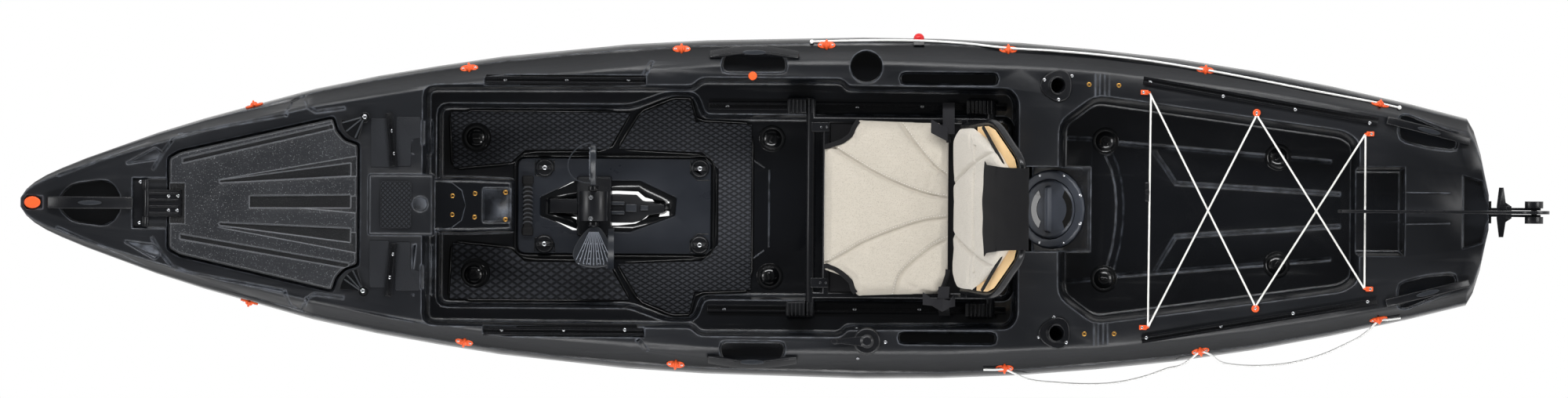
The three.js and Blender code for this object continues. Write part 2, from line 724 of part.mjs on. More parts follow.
function hatchHinge() {
  const baseHalf = atY(hingeBaseHalfPixels);
  const leafHalf = atY(hingeLeafHalfPixels);
  const { x, z } = hingeAxis;
  const bed = (px) => deckAt(px) - hingeRecessDepth + gap;
  const [front, back] = [x - 5 * hingeRadius, x - hingeRadius / 2];
  const plate = block(rectangle(front, back, -baseHalf, baseHalf), [
    [0, (px) => bed(px) + gap], [0, (px) => bed(px) + leafThickness],
  ]);
  const pillars = [-1, 1].map((side) => {
    const middle = side * (baseHalf + leafHalf + runningGap) / 2;
    const half = (baseHalf - leafHalf - runningGap) / 2;
    const post = box(x - 1.5 * hingeRadius, x + hingeRadius / 2, middle - half, middle + half,
      bed(x) + 2 * gap, z);
    return join(cylinder(hingeRadius, 2 * half, [x, middle, z], 'y', 14), post);
  });
  const pin = cylinder(pinRadius, 2 * baseHalf, [x, 0, z], 'y', 12);
  add('hatch_hinge_base', join(plate, ...pillars, pin), plasticBlack);
  const bore = cylinder(pinRadius + gap, 2 * baseHalf, [x, 0, z], 'y', 12);
  const knuckle = cylinder(hingeRadius, 2 * leafHalf, [x, 0, z], 'y', 14);
  const lidTop = (px) => lidPlane.height(px) - lidFlange + gap;
  const leafEnd = atX(leafEndPixel);
  const leaf = block(rectangle(x, leafEnd, -leafHalf, leafHalf), [
    [0, lidTop], [0, (px) => lidTop(px) + leafThickness],
  ]);
  const ribHalf = leafThickness / 2;
  const ribs = leafRibShares.map((share) => block(
    rectangle(x, leafEnd - 2 * leafThickness, share * leafHalf - ribHalf, share * leafHalf + ribHalf),
    [[0, lidTop], [0, (px) => lidTop(px) + 2 * leafThickness]],
  ));
  add('hatch_hinge_leaf', cut(join(knuckle, leaf, ...ribs), bore), plasticBlack);
}

function latch(side) {
  const [x, y] = at(latchPixels);
  const [from, to] = latchSweep;
  const steps = 6;
  const fan = [[x, y]];
  for (let i = 0; i <= steps; i += 1) {
    const angle = from + ((to - from) * i) / steps;
    fan.push([x + latchReach * Math.cos(angle), y + latchReach * Math.sin(angle)]);
  }
  const low = deckAt(x) + latchLift;
  const blade = prism(handed(fan, side), low, low + latchThickness);
  const hubMiddle = low + (latchThickness - latchLift + gap) / 2 + gap;
  const hub = cylinder(latchHub, latchThickness + latchLift - gap, [x, side * y, hubMiddle], 'z', 18);
  const head = cylinder(latchHub / 2, 1.5 * latchThickness, [x, side * y, low + latchThickness], 'z', 12);
  return join(blade, hub, head);
}

add('bow_hatch_lid', bowHatchLid(), plasticLid);
hatchHinge();
for (const [name, side] of sides) add(`hatch_latch_${name}`, latch(side), plasticBlack);

// Carry handles: a strap that stands on two feet over its finger recess
const handleThickness = 9;
const handleRise = 20;
const handleFoot = 20;

function strapHandle(from, to, width, roll) {
  const span = Math.hypot(to[0] - from[0], to[1] - from[1]);
  const steps = 8;
  const top = [];
  const under = [];
  for (let i = 0; i <= steps; i += 1) {
    const along = (span * i) / steps;
    const swell = Math.sin((Math.PI * i) / steps);
    top.push([along, handleThickness + handleRise * swell]);
    const inner = handleFoot + ((span - 2 * handleFoot) * i) / steps;
    under.push([inner, handleRise * swell]);
  }
  const profile = [[0, 0], ...under, [span, 0], ...top.reverse()];
  const body = [-width / 2, width / 2].map((y) => profile.map(([x, z]) => {
    const point = new THREE.Vector3(x, y, z);
    point.applyAxisAngle(new THREE.Vector3(1, 0, 0), roll);
    point.applyAxisAngle(new THREE.Vector3(0, 1, 0), -Math.atan2(to[2] - from[2], span));
    point.applyAxisAngle(new THREE.Vector3(0, 0, 1), Math.atan2(to[1] - from[1], to[0] - from[0]));
    return point.add(new THREE.Vector3(...from)).toArray();
  }));
  return stack(body, [0, 2]);
}

const onDeck = (pixelX, pixelOut, lift = 2 * gap) => {
  const [x, y] = at([pixelX, pixelOut]);
  return [x, y, deckTop(x, y) + lift];
};
const bowHandlePixels = [62, 171];
const bowHandleWidth = 33;
const sideHandlePixels = { start: 904, end: 1018, out: 193 };
const sideHandleWidth = 24;
const sideHandleRoll = 42 * Math.PI / 180;
const sideHandleLift = 4;
const sternHandlePixels = [[1768, 117], [1875, 90]];
const sternHandleWidth = 22;

function sideHandle(side) {
  const { start, end, out } = sideHandlePixels;
  const feet = [start, end].map((pixel) => {
    const [x, y] = at([pixel, out]);
    return [x, side * y, shoulderAt(x, y) + sideHandleLift];
  });
  return strapHandle(feet[0], feet[1], sideHandleWidth, -side * sideHandleRoll);
}

function sternHandle(side) {
  const [front, rear] = sternHandlePixels.map(([pixelX, out]) => onDeck(pixelX, side * out));
  return strapHandle(front, rear, sternHandleWidth, 0);
}

add('bow_handle', strapHandle(
  onDeck(bowHandlePixels[0], 0),
  onDeck(bowHandlePixels[1], 0),
  bowHandleWidth,
  0,
), plasticBlack);
for (const [name, side] of sides) {
  add(`side_handle_${name}`, sideHandle(side), plasticBlack);
  add(`stern_handle_${name}`, sternHandle(side), plasticBlack);
}

// Bow drain plug in its recess
const plugPixel = 43;
const plugLength = 46;
const plugWidth = 34;
const plugHeight = 13;

function drainPlug() {
  const outline = [];
  const corners = 16;
  for (let i = 0; i < corners; i += 1) {
    const angle = (full * i) / corners;
    outline.push([atX(plugPixel) + (plugLength / 2) * Math.cos(angle), (plugWidth / 2) * Math.sin(angle)]);
  }
  const bed = deckAt(atX(plugPixel)) - plugRecessDepth + deckCrown / 2;
  return block(outline, [
    [-plugWidth / 5, bed], [-plugWidth / 5, bed + plugHeight / 3], [0, bed + plugHeight / 2],
    [-plugHeight / 6, bed + plugHeight],
  ]);
}
add('bow_drain_plug', drainPlug(), orange);

// Console tray pad
const padPixels = [[486, 30], [525, 30]];
const padThickness = 6;
add('console_pad', block(rounded(outlineOf(padPixels), smallRound), [
  [0, (x) => deckAt(x) + trayHeight + 2 * gap], [0, (x) => deckAt(x) + trayHeight + padThickness],
]), foamDark);

// Accessory tracks: an extruded channel with a T slot
const trackWidth = 20;
const trackHeight = 8;
const slotMouth = 8;
const slotWidth = 13;
const slotLip = 2;
const slotFloor = 2.5;

function trackBar(from, to) {
  const [w, m, s] = [trackWidth / 2, slotMouth / 2, slotWidth / 2];
  const [h, l, f] = [trackHeight, trackHeight - slotLip, slotFloor];
  const profile = [[-w, 0], [w, 0], [w, h], [m, h], [m, l], [s, l], [s, f], [-s, f], [-s, l], [-m, l],
    [-m, h], [-w, h]];
  const heading = Math.atan2(to[1] - from[1], to[0] - from[0]);
  const [acrossX, acrossY] = [-Math.sin(heading), Math.cos(heading)];
  const ends = [from, to].map(([x, y, z]) => (
    profile.map(([a, b]) => [x + a * acrossX, y + a * acrossY, z + b])));
  const level = Math.abs(Math.cos(heading)) > Math.SQRT1_2 ? 1 : 0;
  return stack(ends, [level, 2]);
}

// The least height over the deck that keeps a straight bar clear of it
function liftOver(from, to) {
  const samples = [0, 0.25, 0.5, 0.75, 1].map((t) => {
    const x = from[0] + t * (to[0] - from[0]);
    const chord = deckAt(from[0]) + t * (deckAt(to[0]) - deckAt(from[0]));
    return deckAt(x) - chord;
  });
  return Math.max(...samples) + gap;
}

const dashTrackPixels = [[496, 117], [503, 49]];
const dashTrackLift = 0.7;
const seatTrackPixels = { start: 903, end: 1284, out: 129.8 };
const rearTrackPixels = [[1457, 166], [1757, 115]];

for (const [name, side] of sides) {
  const dash = dashTrackPixels.map(([x, out]) => onDeck(x, side * out, dashTrackLift));
  add(`dash_track_${name}`, trackBar(...dash), plasticBlack);
  const front = frontTrackPixels;
  const bed = [front.start, front.end].map((pixel) => deckAt(atX(pixel)) - trackRecessDepth + gap);
  const inset = lipRound;
  add(`front_track_${name}`, trackBar(
    [atX(front.start) + inset, side * atY(front.out), bed[0] + 2 * gap],
    [atX(front.end) - inset, side * atY(front.out), bed[1] + 2 * gap],
  ), aluminium);
  const seat = seatTrackPixels;
  add(`seat_track_${name}`, trackBar(
    [atX(seat.start), side * atY(seat.out), shelfHeight + gap],
    [atX(seat.end), side * atY(seat.out), shelfHeight + gap],
  ), aluminium);
  const rear = rearTrackPixels.map(([x, out]) => onDeck(x, side * out, 0));
  const lift = liftOver(...rear);
  add(`rear_track_${name}`, trackBar(...rear.map(([x, y, z]) => [x, y, z + lift])), aluminium);
}

// Footwell mats with the holes over the scuppers
const matThickness = 5;
const forwardMatPixels = [[572, 120], [802, 120], [775, 73], [668, 72], [650, 56], [576, 48]];
const rearMatPixels = [
  [788, 74], [816, 120], [858, 137], [879, 137], [886, 109], [958, 106], [958, -106], [886, -109],
  [879, -137], [858, -137], [816, -120], [788, -74], [895, -70], [916, -48], [916, 48], [895, 70],
];
const matHole = 41;
for (const [name, side] of sides) {
  const [x, y] = at(scupperPixels[0]);
  const mat = prism(handed(forwardMatPixels.map(at), side), floorHeight + gap, floorHeight + matThickness);
  const hole = cylinder(matHole, overrun, [x, side * y, floorHeight], 'z', 18);
  add(`forward_mat_${name}`, cut(mat, hole), foamDark);
}
add('rear_mat', prism(rearMatPixels.map(at), floorHeight + gap, floorHeight + matThickness), foamDark);

// Pedal drive: a cover plate over the through well, with four turn knobs and a lifting grip
const platePixels = [[659, 61], [906, 61]];
const plateThickness = 12;
const hexagonPixels = [[689, 10], [729, 31], [801, 31], [859, 10]];
const knobPixels = { front: 693, rear: 892, out: 49 };
const knobRadius = 26;
const knobHeight = 9;
const knobGrip = 10;
const gripPixels = [[664, 39], [679, 39]];
const plateTop = floorHeight + gap + plateThickness;

const plateBody = block(rounded(outlineOf(platePixels), cornerRound), [
  [0, floorHeight + gap], [0, plateTop - lipRound / 2], [-lipRound / 2, plateTop],
]);
add('drive_plate', cut(plateBody, prism(outlineOf(hexagonPixels), 0, deckHeight)), plasticBlack);

function knob(x, y) {
  const low = plateTop + gap;
  const disc = turned([
    [0, 0], [knobRadius, 0], [knobRadius, knobHeight / 2], [knobRadius * 0.8, knobHeight], [0, knobHeight],
  ], 20, [x, y, low]);
  const reach = knobRadius * 0.7;
  const bar = block(rectangle(x - reach, x + reach, y - knobGrip / 2, y + knobGrip / 2), [
    [0, low + knobHeight / 2], [-knobGrip / 4, low + knobHeight + knobGrip],
  ]);
  return disc.add(bar);
}
for (const [name, side] of sides) {
  for (const end of ['front', 'rear']) {
    add(`plate_knob_${end}_${name}`, knob(atX(knobPixels[end]), side * atY(knobPixels.out)), plasticBlack);
  }
}

function grip() {
  const [x0, x1] = gripPixels.map(([x]) => atX(x));
  const half = atY(gripPixels[0][1]);
  const low = plateTop + gap;
  const bar = block(rectangle(x0, x1, -half, half), [[0, low], [-lipRound, low + plateThickness]]);
  const ribs = [];
  const count = 13;
  const pitch = (2 * half) / count;
  for (let i = 0; i < count; i += 1) {
    const y = -half + (i + 0.5) * pitch;
    ribs.push(box(x0 + lipRound, x1 - lipRound, y - pitch / 5, y + pitch / 5, low + plateThickness / 2,
      low + plateThickness + 2 * runningGap));
  }
  return join(bar, ...ribs);
}
add('drive_grip', grip(), rubberBlack);

// Crank housing: a foot on the plate, a column and a head with the crank bearing
const crankPixel = 757;
const crankHeight = 348;
const crankRadius = 155;
const axleRadius = 9;
const headHalf = 40;
const armThickness = 13;
const armWidth = 28;
const footThickness = 12;
const legPivotPixel = 700;
const legPivotHeight = 58;
const legLength = 300;
const cheekHalf = 30;
const cheekThickness = 9;
const pivotRadius = 8;
const crank = { x: atX(crankPixel), z: crankHeight };
const legPivot = { x: atX(legPivotPixel), z: legPivotHeight };

const housingFoot = { length: 96, half: 82 };
const housingColumn = { length: 66, half: 30 };
const neckPlay = 2;

function crankHousing() {
  const low = plateTop + gap;
  const about = (length, half) => rounded(
    rectangle(crank.x - length / 2, crank.x + length / 2, -half, half), smallRound, 2);
  const foot = block(about(housingFoot.length, housingFoot.half), [
    [0, low], [-lipRound, low + footThickness],
  ]);
  const column = block(about(housingColumn.length, housingColumn.half), [
    [0, low], [-smallRound / 2, crank.z],
  ]);
  const headRadius = housingColumn.length / 2 + lipRound;
  const head = cylinder(headRadius, 2 * headHalf, [crank.x, 0, crank.z], 'y', 24);
  const bore = cylinder(axleRadius + gap, 2 * hullBeam, [crank.x, 0, crank.z], 'y', 20);
  return cut(join(foot, column, head, legBracket(low)), bore, legPinHole());
}

// Below the plate: a neck through its opening and two cheeks that hold the leg's pin
function legBracket(low) {
  const neckHalf = atY(hexagonPixels[0][1]) - neckPlay;
  const top = floorHeight - cheekThickness / 2;
  const neck = box(legPivot.x, crank.x + housingColumn.length / 2, -neckHalf, neckHalf,
    floorHeight - cheekThickness, low + runningGap);
  const bridge = box(legPivot.x - pivotRadius, crank.x, -cheekHalf, cheekHalf,
    floorHeight - 2 * cheekThickness, top);
  const cheeks = [-1, 1].map((side) => {
    const y = side * (cheekHalf - cheekThickness / 2);
    return box(legPivot.x - 2 * pivotRadius, crank.x - housingColumn.length / 3, y - cheekThickness / 2,
      y + cheekThickness / 2, legPivot.z - 2 * pivotRadius, top);
  });
  return join(neck, bridge, ...cheeks);
}

const legPinHole = () => (
  cylinder(pivotRadius + gap, 2 * hullBeam, [legPivot.x, 0, legPivot.z], 'y', 20));
add('drive_housing', crankHousing(), plasticBlack);

const armY = headHalf + runningGap + armThickness / 2;
const pedalStart = armY + armThickness / 2 + runningGap;
const spindleRadius = 7;
const pedalWidth = 112;
const pedalLength = 118;
const pedalThickness = 22;

function crankArm(side) {
  const { x, z } = crank;
  const y = side * armY;
  const tip = z + side * crankRadius;
  const eye = cylinder(armWidth / 2, armThickness, [x, y, z], 'y', 18);
  const end = cylinder(armWidth / 2.6, armThickness, [x, y, tip], 'y', 18);
  const bar = box(x - armWidth / 2.8, x + armWidth / 2.8, y - armThickness / 2, y + armThickness / 2,
    Math.min(z, tip), Math.max(z, tip));
  const spindle = cylinder(spindleRadius, pedalWidth, [x, side * (armY + pedalWidth / 2), tip], 'y', 14);
  return join(eye, end, bar, spindle);
}

function crankSet() {
  const axle = cylinder(axleRadius, 2 * armY, [crank.x, 0, crank.z], 'y', 20);
  return join(axle, ...sides.map(([, side]) => crankArm(side)));
}
add('crank', crankSet(), aluminium);

// Pedals turn on their spindles: the starboard one stands on edge and the port one lies flat
const pedalShares = [
  [-0.5, -0.3], [-0.5, 0.3], [-0.25, 0.5], [0.25, 0.5], [0.5, 0.42], [0.5, -0.42], [0.25, -0.5],
  [-0.25, -0.5],
];
function pedal(side) {
  const z = crank.z + side * crankRadius;
  const y = side * (pedalStart + pedalWidth / 2);
  const outline = pedalShares.map(([along, across]) => [along * pedalLength, across * pedalWidth]);
  const plate = block(rounded(outline, smallRound, 2), [
    [-lipRound / 2, -pedalThickness / 2], [0, -pedalThickness / 4], [0, pedalThickness / 4],
    [-lipRound / 2, pedalThickness / 2],
  ]);
  const bore = cylinder(spindleRadius + gap, 2 * pedalWidth, [0, 0, 0], 'y', 14);
  const geometry = geometryOf(cut(plate, bore));
  if (side > 0) geometry.rotateY(Math.PI / 2);
  geometry.translate(crank.x, y, z);
  return solid(geometry);
}
for (const [name, side] of sides) add(`pedal_${name}`, pedal(side), plasticGrey);

// Lower leg, stowed level in the through well, with the gear case and propeller at its end
const gearRadius = 22;
const gearHalf = 30;
const gearFace = 22;
const propellerRadius = 94;
const bladeThickness = 3.5;
const hubRadius = 13;

const bladeTwist = 16 * Math.PI / 180;
const bladeShares = [
  [0, -0.06], [0.3, -0.16], [0.7, -0.24], [0.95, -0.16], [1, 0], [0.93, 0.12], [0.6, 0.16], [0.25, 0.1],
  [0, 0.06],
];
const gearTop = legPivotHeight + gearFace;

function legStrut(eyeHalf) {
  const { x, z } = legPivot;
  const ends = [[0, eyeHalf, 1.7 * pivotRadius], [legLength, gearRadius * 0.6, gearRadius]];
  return stack(ends.map(([along, half, deep]) => (
    rounded(rectangle(-deep, deep, -half, half), deep).map(([a, b]) => [x + along, b, z + a]))), [2, 1]);
}

function driveLeg() {
  const { x, z } = legPivot;
  const eyeHalf = cheekHalf - cheekThickness - runningGap;
  const eye = cylinder(2 * pivotRadius, 2 * eyeHalf, [x, 0, z], 'y', 20);
  const pin = cylinder(pivotRadius, 2 * cheekHalf, [x, 0, z], 'y', 16);
  const gearCase = turned([
    [0, -gearHalf], [gearRadius * 0.7, -gearHalf * 0.8], [gearRadius, 0], [gearRadius * 0.8, gearFace],
    [0, gearFace],
  ], 18, [x + legLength, 0, z]);
  return join(eye, pin, legStrut(eyeHalf), gearCase);
}

function propeller() {
  const x = legPivot.x + legLength;
  const low = gearTop + gap;
  const hub = turned([
    [0, 0], [hubRadius, 0], [hubRadius, hubRadius], [hubRadius / 2, 1.3 * hubRadius], [0, 1.3 * hubRadius],
  ], 16, [x, 0, low]);
  const outline = bladeShares.map(([a, b]) => [a * propellerRadius, b * propellerRadius]);
  const blades = [0, 1, 2].map((i) => {
    const geometry = geometryOf(prism(outline, -bladeThickness / 2, bladeThickness / 2));
    geometry.rotateX(bladeTwist);
    geometry.rotateZ((full * i) / 3);
    geometry.translate(x, 0, low + hubRadius * 0.6);
    return solid(geometry);
  });
  return join(hub, ...blades);
}
add('drive_leg', driveLeg(), plasticBlack);
add('propeller', propeller(), plasticBlack);

// Seat frame: cross tubes in slide clamps, side tubes and the hinge posts of the back
const tubeRadius = 12.7;
const clampFoot = 6;
const clampHeight = 30;
const clampLength = 74;
const clampWidth = 44;
const frontTubePixel = 1034;
const secondTubePixel = 1054;
const rearTubePixel = 1264;
const crossTubeHalfPixels = 138;
const sideTubeOutPixels = 112;
const clampPixels = { front: 1021, rear: 1250 };
const tubeHeight = shelfHeight + gap + trackHeight + gap + clampFoot + tubeRadius + gap;
const seatRise = tubeHeight + tubeRadius;
const cushionThickness = 42;
const cushionCrown = 14;
const backHingeRise = 118;
const backHingePixel = 1229;
const backHinge = { x: atX(backHingePixel), z: tubeHeight + backHingeRise };
const postThickness = 8;
const postWidth = 34;
const postOut = atY(sideTubeOutPixels);

// An upright plate on the side tube, with the hole for the back's hinge pin
function hingePost(side) {
  const [half, quarter] = [postWidth / 2, postWidth / 4];
  const profile = [
    [backHinge.x - postWidth, tubeHeight], [atX(rearTubePixel), tubeHeight],
    [backHinge.x + half, backHinge.z], [backHinge.x + quarter, backHinge.z + half],
    [backHinge.x - quarter, backHinge.z + half], [backHinge.x - half, backHinge.z],
  ];
  const y = side * postOut;
  const faces = [y - postThickness / 2, y + postThickness / 2];
  const plate = stack(faces.map((across) => profile.map(([x, z]) => [x, across, z])), [0, 2]);
  return cut(plate, cylinder(pivotRadius + gap, overrun, [backHinge.x, y, backHinge.z], 'y', 16));
}

function seatFrame() {
  const half = atY(crossTubeHalfPixels);
  const [x0, x1] = [atX(frontTubePixel), atX(rearTubePixel)];
  const cross = [x0, x1].map((x) => cylinder(tubeRadius, 2 * half, [x, 0, tubeHeight], 'y', 16));
  const second = cylinder(tubeRadius, 2 * postOut, [atX(secondTubePixel), 0, tubeHeight], 'y', 12);
  const rails = sides.map(([, side]) => (
    cylinder(tubeRadius, x1 - x0, [(x0 + x1) / 2, side * postOut, tubeHeight], 'x', 16)));
  return join(...cross, second, ...rails, ...sides.map(([, side]) => hingePost(side)));
}
add('seat_frame', seatFrame(), aluminium);

// Each clamp rides its track and holds a cross tube in a half round saddle
const clampTeeth = 5;

function seatClamp(pixel, tubePixel, side) {
  const [x, y, tubeX] = [atX(pixel), side * atY(seatTrackPixels.out), atX(tubePixel)];
  const low = shelfHeight + gap + trackHeight + gap;
  const top = low + clampHeight;
  const [front, half] = [x - clampLength / 2, clampWidth / 2];
  const outline = rounded(rectangle(front, x + clampLength / 2, y - half, y + half), smallRound, 2);
  const body = block(outline, [[0, low], [0, top - lipRound], [-lipRound, top]]);
  const reach = tubeRadius + gap;
  const saddle = cylinder(reach, 2 * clampWidth, [tubeX, y, tubeHeight], 'y', 16);
  const way = box(tubeX - reach, tubeX + reach, y - clampWidth, y + clampWidth, tubeHeight, top + overrun);
  const pitch = clampLength / 2 / clampTeeth;
  const teeth = [];
  for (let i = 0; i < clampTeeth; i += 1) {
    const start = front + (i + 0.6) * pitch;
    teeth.push(box(start, start + pitch / 2, y - clampWidth, y - half / 2, low + clampHeight / 2,
      top + overrun));
  }
  return cut(body, saddle, way, ...teeth);
}
for (const [name, side] of sides) {
  add(`seat_clamp_front_${name}`, seatClamp(clampPixels.front, frontTubePixel, side), plasticBlack);
  add(`seat_clamp_rear_${name}`, seatClamp(clampPixels.rear, rearTubePixel, side), plasticBlack);
}

// Cushion: a crowned pad with drawn-in sides, cut corners and the furrows of its fan seams
const cushionPixels = [
  [1046, 80], [1066, 88], [1084, 100], [1090, 118], [1200, 114], [1205, 108], [1215, 100],
];
const cushionSeamPixels = [[[1065, 76], [1212, 13]], [[1147, 110], [1212, 38]]];
const seamWidth = 13;
const seamDepth = 5;

function furrow(x, y) {
  const point = new THREE.Vector3(x, y, 0);
  const nearest = Math.min(...sides.flatMap(([, side]) => cushionSeamPixels.map((seam) => {
    const [a, b] = seam.map(at).map(([px, py]) => new THREE.Vector3(px, side * py, 0));
    const close = new THREE.Line3(a, b).closestPointToPoint(point, true, new THREE.Vector3());
    return close.distanceTo(point);
  })));
  return seamDepth * Math.exp(-((nearest / seamWidth) ** 2));
}

// Points along an outline at an even spacing
function resampled(points, count) {
  const curve = new THREE.CatmullRomCurve3(points.map(([x, y]) => new THREE.Vector3(x, y, 0)), true,
    'catmullrom', 0.08);
  return curve.getSpacedPoints(count).slice(0, count).map((p) => [p.x, p.y]);
}

const padEdgeShares = [[0.93, 0], [0.985, 0.22], [1, 0.5], [0.985, 0.8], [0.95, 0.97]];
const padCrownShares = [0.86, 0.74, 0.6, 0.46, 0.31, 0.15];

function crownedPad(outline, low, thickness, crown, relief) {
  const count = outline.length;
  const middle = outline.reduce(([sx, sy], [x, y]) => [sx + x / count, sy + y / count], [0, 0]);
  const shrunk = (share, z) => outline.map(([x, y]) => [
    middle[0] + (x - middle[0]) * share, middle[1] + (y - middle[1]) * share, z,
  ]);
  const lower = padEdgeShares.map(([share, up]) => shrunk(share, low + thickness * up));
  const upper = padCrownShares.map((share) => shrunk(share, low + thickness + crown * (1 - share ** 2))
    .map(([x, y, z]) => [x, y, z - relief(x, y)]));
  return stack([...lower, ...upper]);
}
add('seat_cushion', crownedPad(
  resampled(outlineOf(cushionPixels), 56),
  seatRise + gap,
  cushionThickness,
  cushionCrown,
  furrow,
), meshBeige);

// Seat back: a bent tube frame on two hinge lugs, with the pad in front and the lumbar band behind
const backLean = 23 * Math.PI / 180;
const backHeight = 400;
const backTubeRadius = 11;
const backTubeSides = 8;
const backTubeFace = backTubeRadius * Math.cos(Math.PI / backTubeSides);
const backFoot = -22;
const padDepth = 34;
const padWidthShare = 1.03;
const padFloor = -8;
const bandRise = 210;
const bandHeight = 150;
const bandThickness = 12;
const lugThickness = 8;
const backHalf = postOut - postThickness / 2 - lugThickness - runningGap - gap;

// From the back's own frame, with its hinge at zero, to the boat
function inBack(body) {
  const geometry = geometryOf(body);
  geometry.rotateY(backLean);
  geometry.translate(backHinge.x, 0, backHinge.z);
  return solid(geometry);
}

function backHoop(half) {
  const corner = backTubeRadius * 5;
  const arc = 6;
  const bend = backHeight - corner;
  const route = [[0, -half, backFoot], [0, -half, bend / 2], [0, -half, bend]];
  for (let i = 1; i <= arc; i += 1) {
    const angle = (Math.PI / 2) * (i / arc);
    route.push([0, corner * (1 - Math.cos(angle)) - half, bend + corner * Math.sin(angle)]);
  }
  const mirror = route.slice().reverse().map(([x, y, z]) => [x, -y, z]);
  return tube([...route, ...mirror], backTubeRadius, backTubeSides, 24);
}

function hingeLug(side) {
  const y = side * (backHalf + lugThickness / 2);
  const pinLength = 2 * lugThickness + postThickness;
  const pin = cylinder(pivotRadius, pinLength, [0, y + (side * postThickness) / 2, 0], 'y', 16);
  return join(cylinder(2 * pivotRadius, lugThickness, [0, y, 0], 'y', 18), pin);
}

function backFrame() {
  const half = backHalf - backTubeRadius + lugThickness / 2;
  const lower = cylinder(backTubeRadius * 0.8, 2 * half, [0, 0, backFoot + backTubeRadius], 'y', 12);
  return inBack(join(backHoop(half), lower, ...sides.map(([, side]) => hingeLug(side))));
}
add('seat_back_frame', backFrame(), aluminium);

const backPadShares = [
  [0, 0.9], [0.06, 0.98], [0.3, 1], [0.62, 0.94], [0.86, 0.86], [0.97, 0.76], [1, 0.62],
];
const backSeamShares = { across: 0.42, up: 0.42 };
const bandHalfShare = 0.54;

function backPad() {
  const half = backHalf * padWidthShare;
  const height = backHeight - padFloor + backTubeRadius;
  const port = backPadShares.map(([up, wide]) => [padFloor + up * height, wide * half]);
  const outline = resampled([...port, ...port.slice().reverse().map(([up, wide]) => [up, -wide])], 44);
  const seams = (x, y) => {
    const across = Math.abs(Math.abs(y) - half * backSeamShares.across);
    const nearest = Math.min(across, Math.abs(x - padFloor - height * backSeamShares.up));
    return seamDepth * Math.exp(-((nearest / seamWidth) ** 2));
  };
  const geometry = geometryOf(crownedPad(outline, 0, padDepth * 0.6, padDepth * 0.4, seams));
  geometry.rotateY(-Math.PI / 2);
  geometry.translate(-backTubeFace - gap, 0, 0);
  return inBack(solid(geometry));
}
add('seat_back_pad', backPad(), meshBeige);

function lumbarBand() {
  const half = backHalf * bandHalfShare;
  const outline = rounded(rectangle(bandRise, bandRise + bandHeight, -half, half), 2 * smallRound);
  const third = bandThickness / 3;
  const geometry = geometryOf(block(outline, [
    [-third, 0], [0, third], [0, 2 * third], [-third, bandThickness],
  ]));
  geometry.rotateY(-Math.PI / 2);
  geometry.translate(bandThickness - backTubeFace, 0, 0);
  return inBack(solid(geometry));
}
add('lumbar_band', lumbarBand(), fabricBlack);

// Round hatch on the slanted plate
function onPlate(body) {
  const geometry = geometryOf(body);
  geometry.rotateY(roundHatch.lean);
  geometry.translate(roundHatch.x, 0, roundHatch.z);
  return solid(geometry);
}

function hatchRing() {
  const profile = [
    [ringBore, gap], [ringRadius, gap], [ringRadius, ringHeight / 2], [ringRadius - lipRound, ringHeight],
    [ringBore, ringHeight], [ringBore, gap],
  ];
  return onPlate(turned(profile, 24, [0, 0, 0]));
}

function roundLid() {
  const rim = roundLidRadius;
  const disc = turned([
    [0, gap + lidShell], [rim - 2 * lidShell, gap + lidShell], [rim - 2 * lidShell, gap], [rim, gap],
    [rim, roundLidHeight - lipRound], [rim - lipRound, roundLidHeight], [0, roundLidHeight],
  ], 24, [0, 0, 0]);
  const bar = block(rounded(rectangle(-barWidth / 2, barWidth / 2, -rim * 0.8, rim * 0.8), smallRound, 2), [
    [0, roundLidHeight - lipRound], [-lipRound, roundLidHeight + barHeight],
  ]);
  return onPlate(join(disc, bar));
}
add('round_hatch_ring', hatchRing(), plasticBlack);
add('round_hatch_lid', roundLid(), plasticBlack);

// Rod holders: a leaning tube with a closed foot under a flat flange
const flangeLobes = 3;
const flangeDip = 0.14;

function rodFlange([x, y, z]) {
  const flange = [];
  const corners = 18;
  for (let i = 0; i < corners; i += 1) {
    const angle = (full * i) / corners;
    const reach = rodFlangeRadius * (1 - (flangeDip * (1 + Math.cos(flangeLobes * angle))) / 2);
    flange.push([x + reach * Math.cos(angle), y + reach * Math.sin(angle)]);
  }
  return block(flange, [[0, z], [0, z + rodFlangeHeight / 2], [-lipRound / 2, z + rodFlangeHeight]]);
}

function rodHolder(side) {
  const place = rodPlace(side);
  const top = 2 * rodFlangeHeight;
  const leaning = (profile) => leaned(turnedGeometry(profile, 16), place, rodLean);
  const low = -rodTubeLength;
  const barrel = leaning([[0, low], [rodTubeRadius, low], [rodTubeRadius, top], [0, top]]);
  const foot = low + wall;
  const bore = leaning([[0, foot], [rodBore, foot], [rodBore, overrun], [0, overrun]]);
  return cut(join(rodFlange(place), barrel), bore);
}
for (const [name, side] of sides) add(`rod_holder_${name}`, rodHolder(side), plasticBlack);

// Steering control on the port gunwale
const steeringPixels = [1107, 170];
const steeringRadius = 38;
const steeringHeight = 11;
const leverHub = 19;
const leverLength = 88;
const leverThickness = 9;

const leverShares = [[0, 0.8], [-0.8, 0.35], [-1, 0.5], [-1.11, 0], [-1, -0.5], [-0.8, -0.35], [0, -0.8]];
const steeringPlace = (() => {
  const [x, out] = at(steeringPixels);
  return [x, -out, deckAt(x) + gap];
})();

function steeringBase() {
  return turned([
    [0, 0], [steeringRadius, 0], [steeringRadius, steeringHeight / 2],
    [steeringRadius - lipRound, steeringHeight], [0, steeringHeight],
  ], 24, steeringPlace);
}

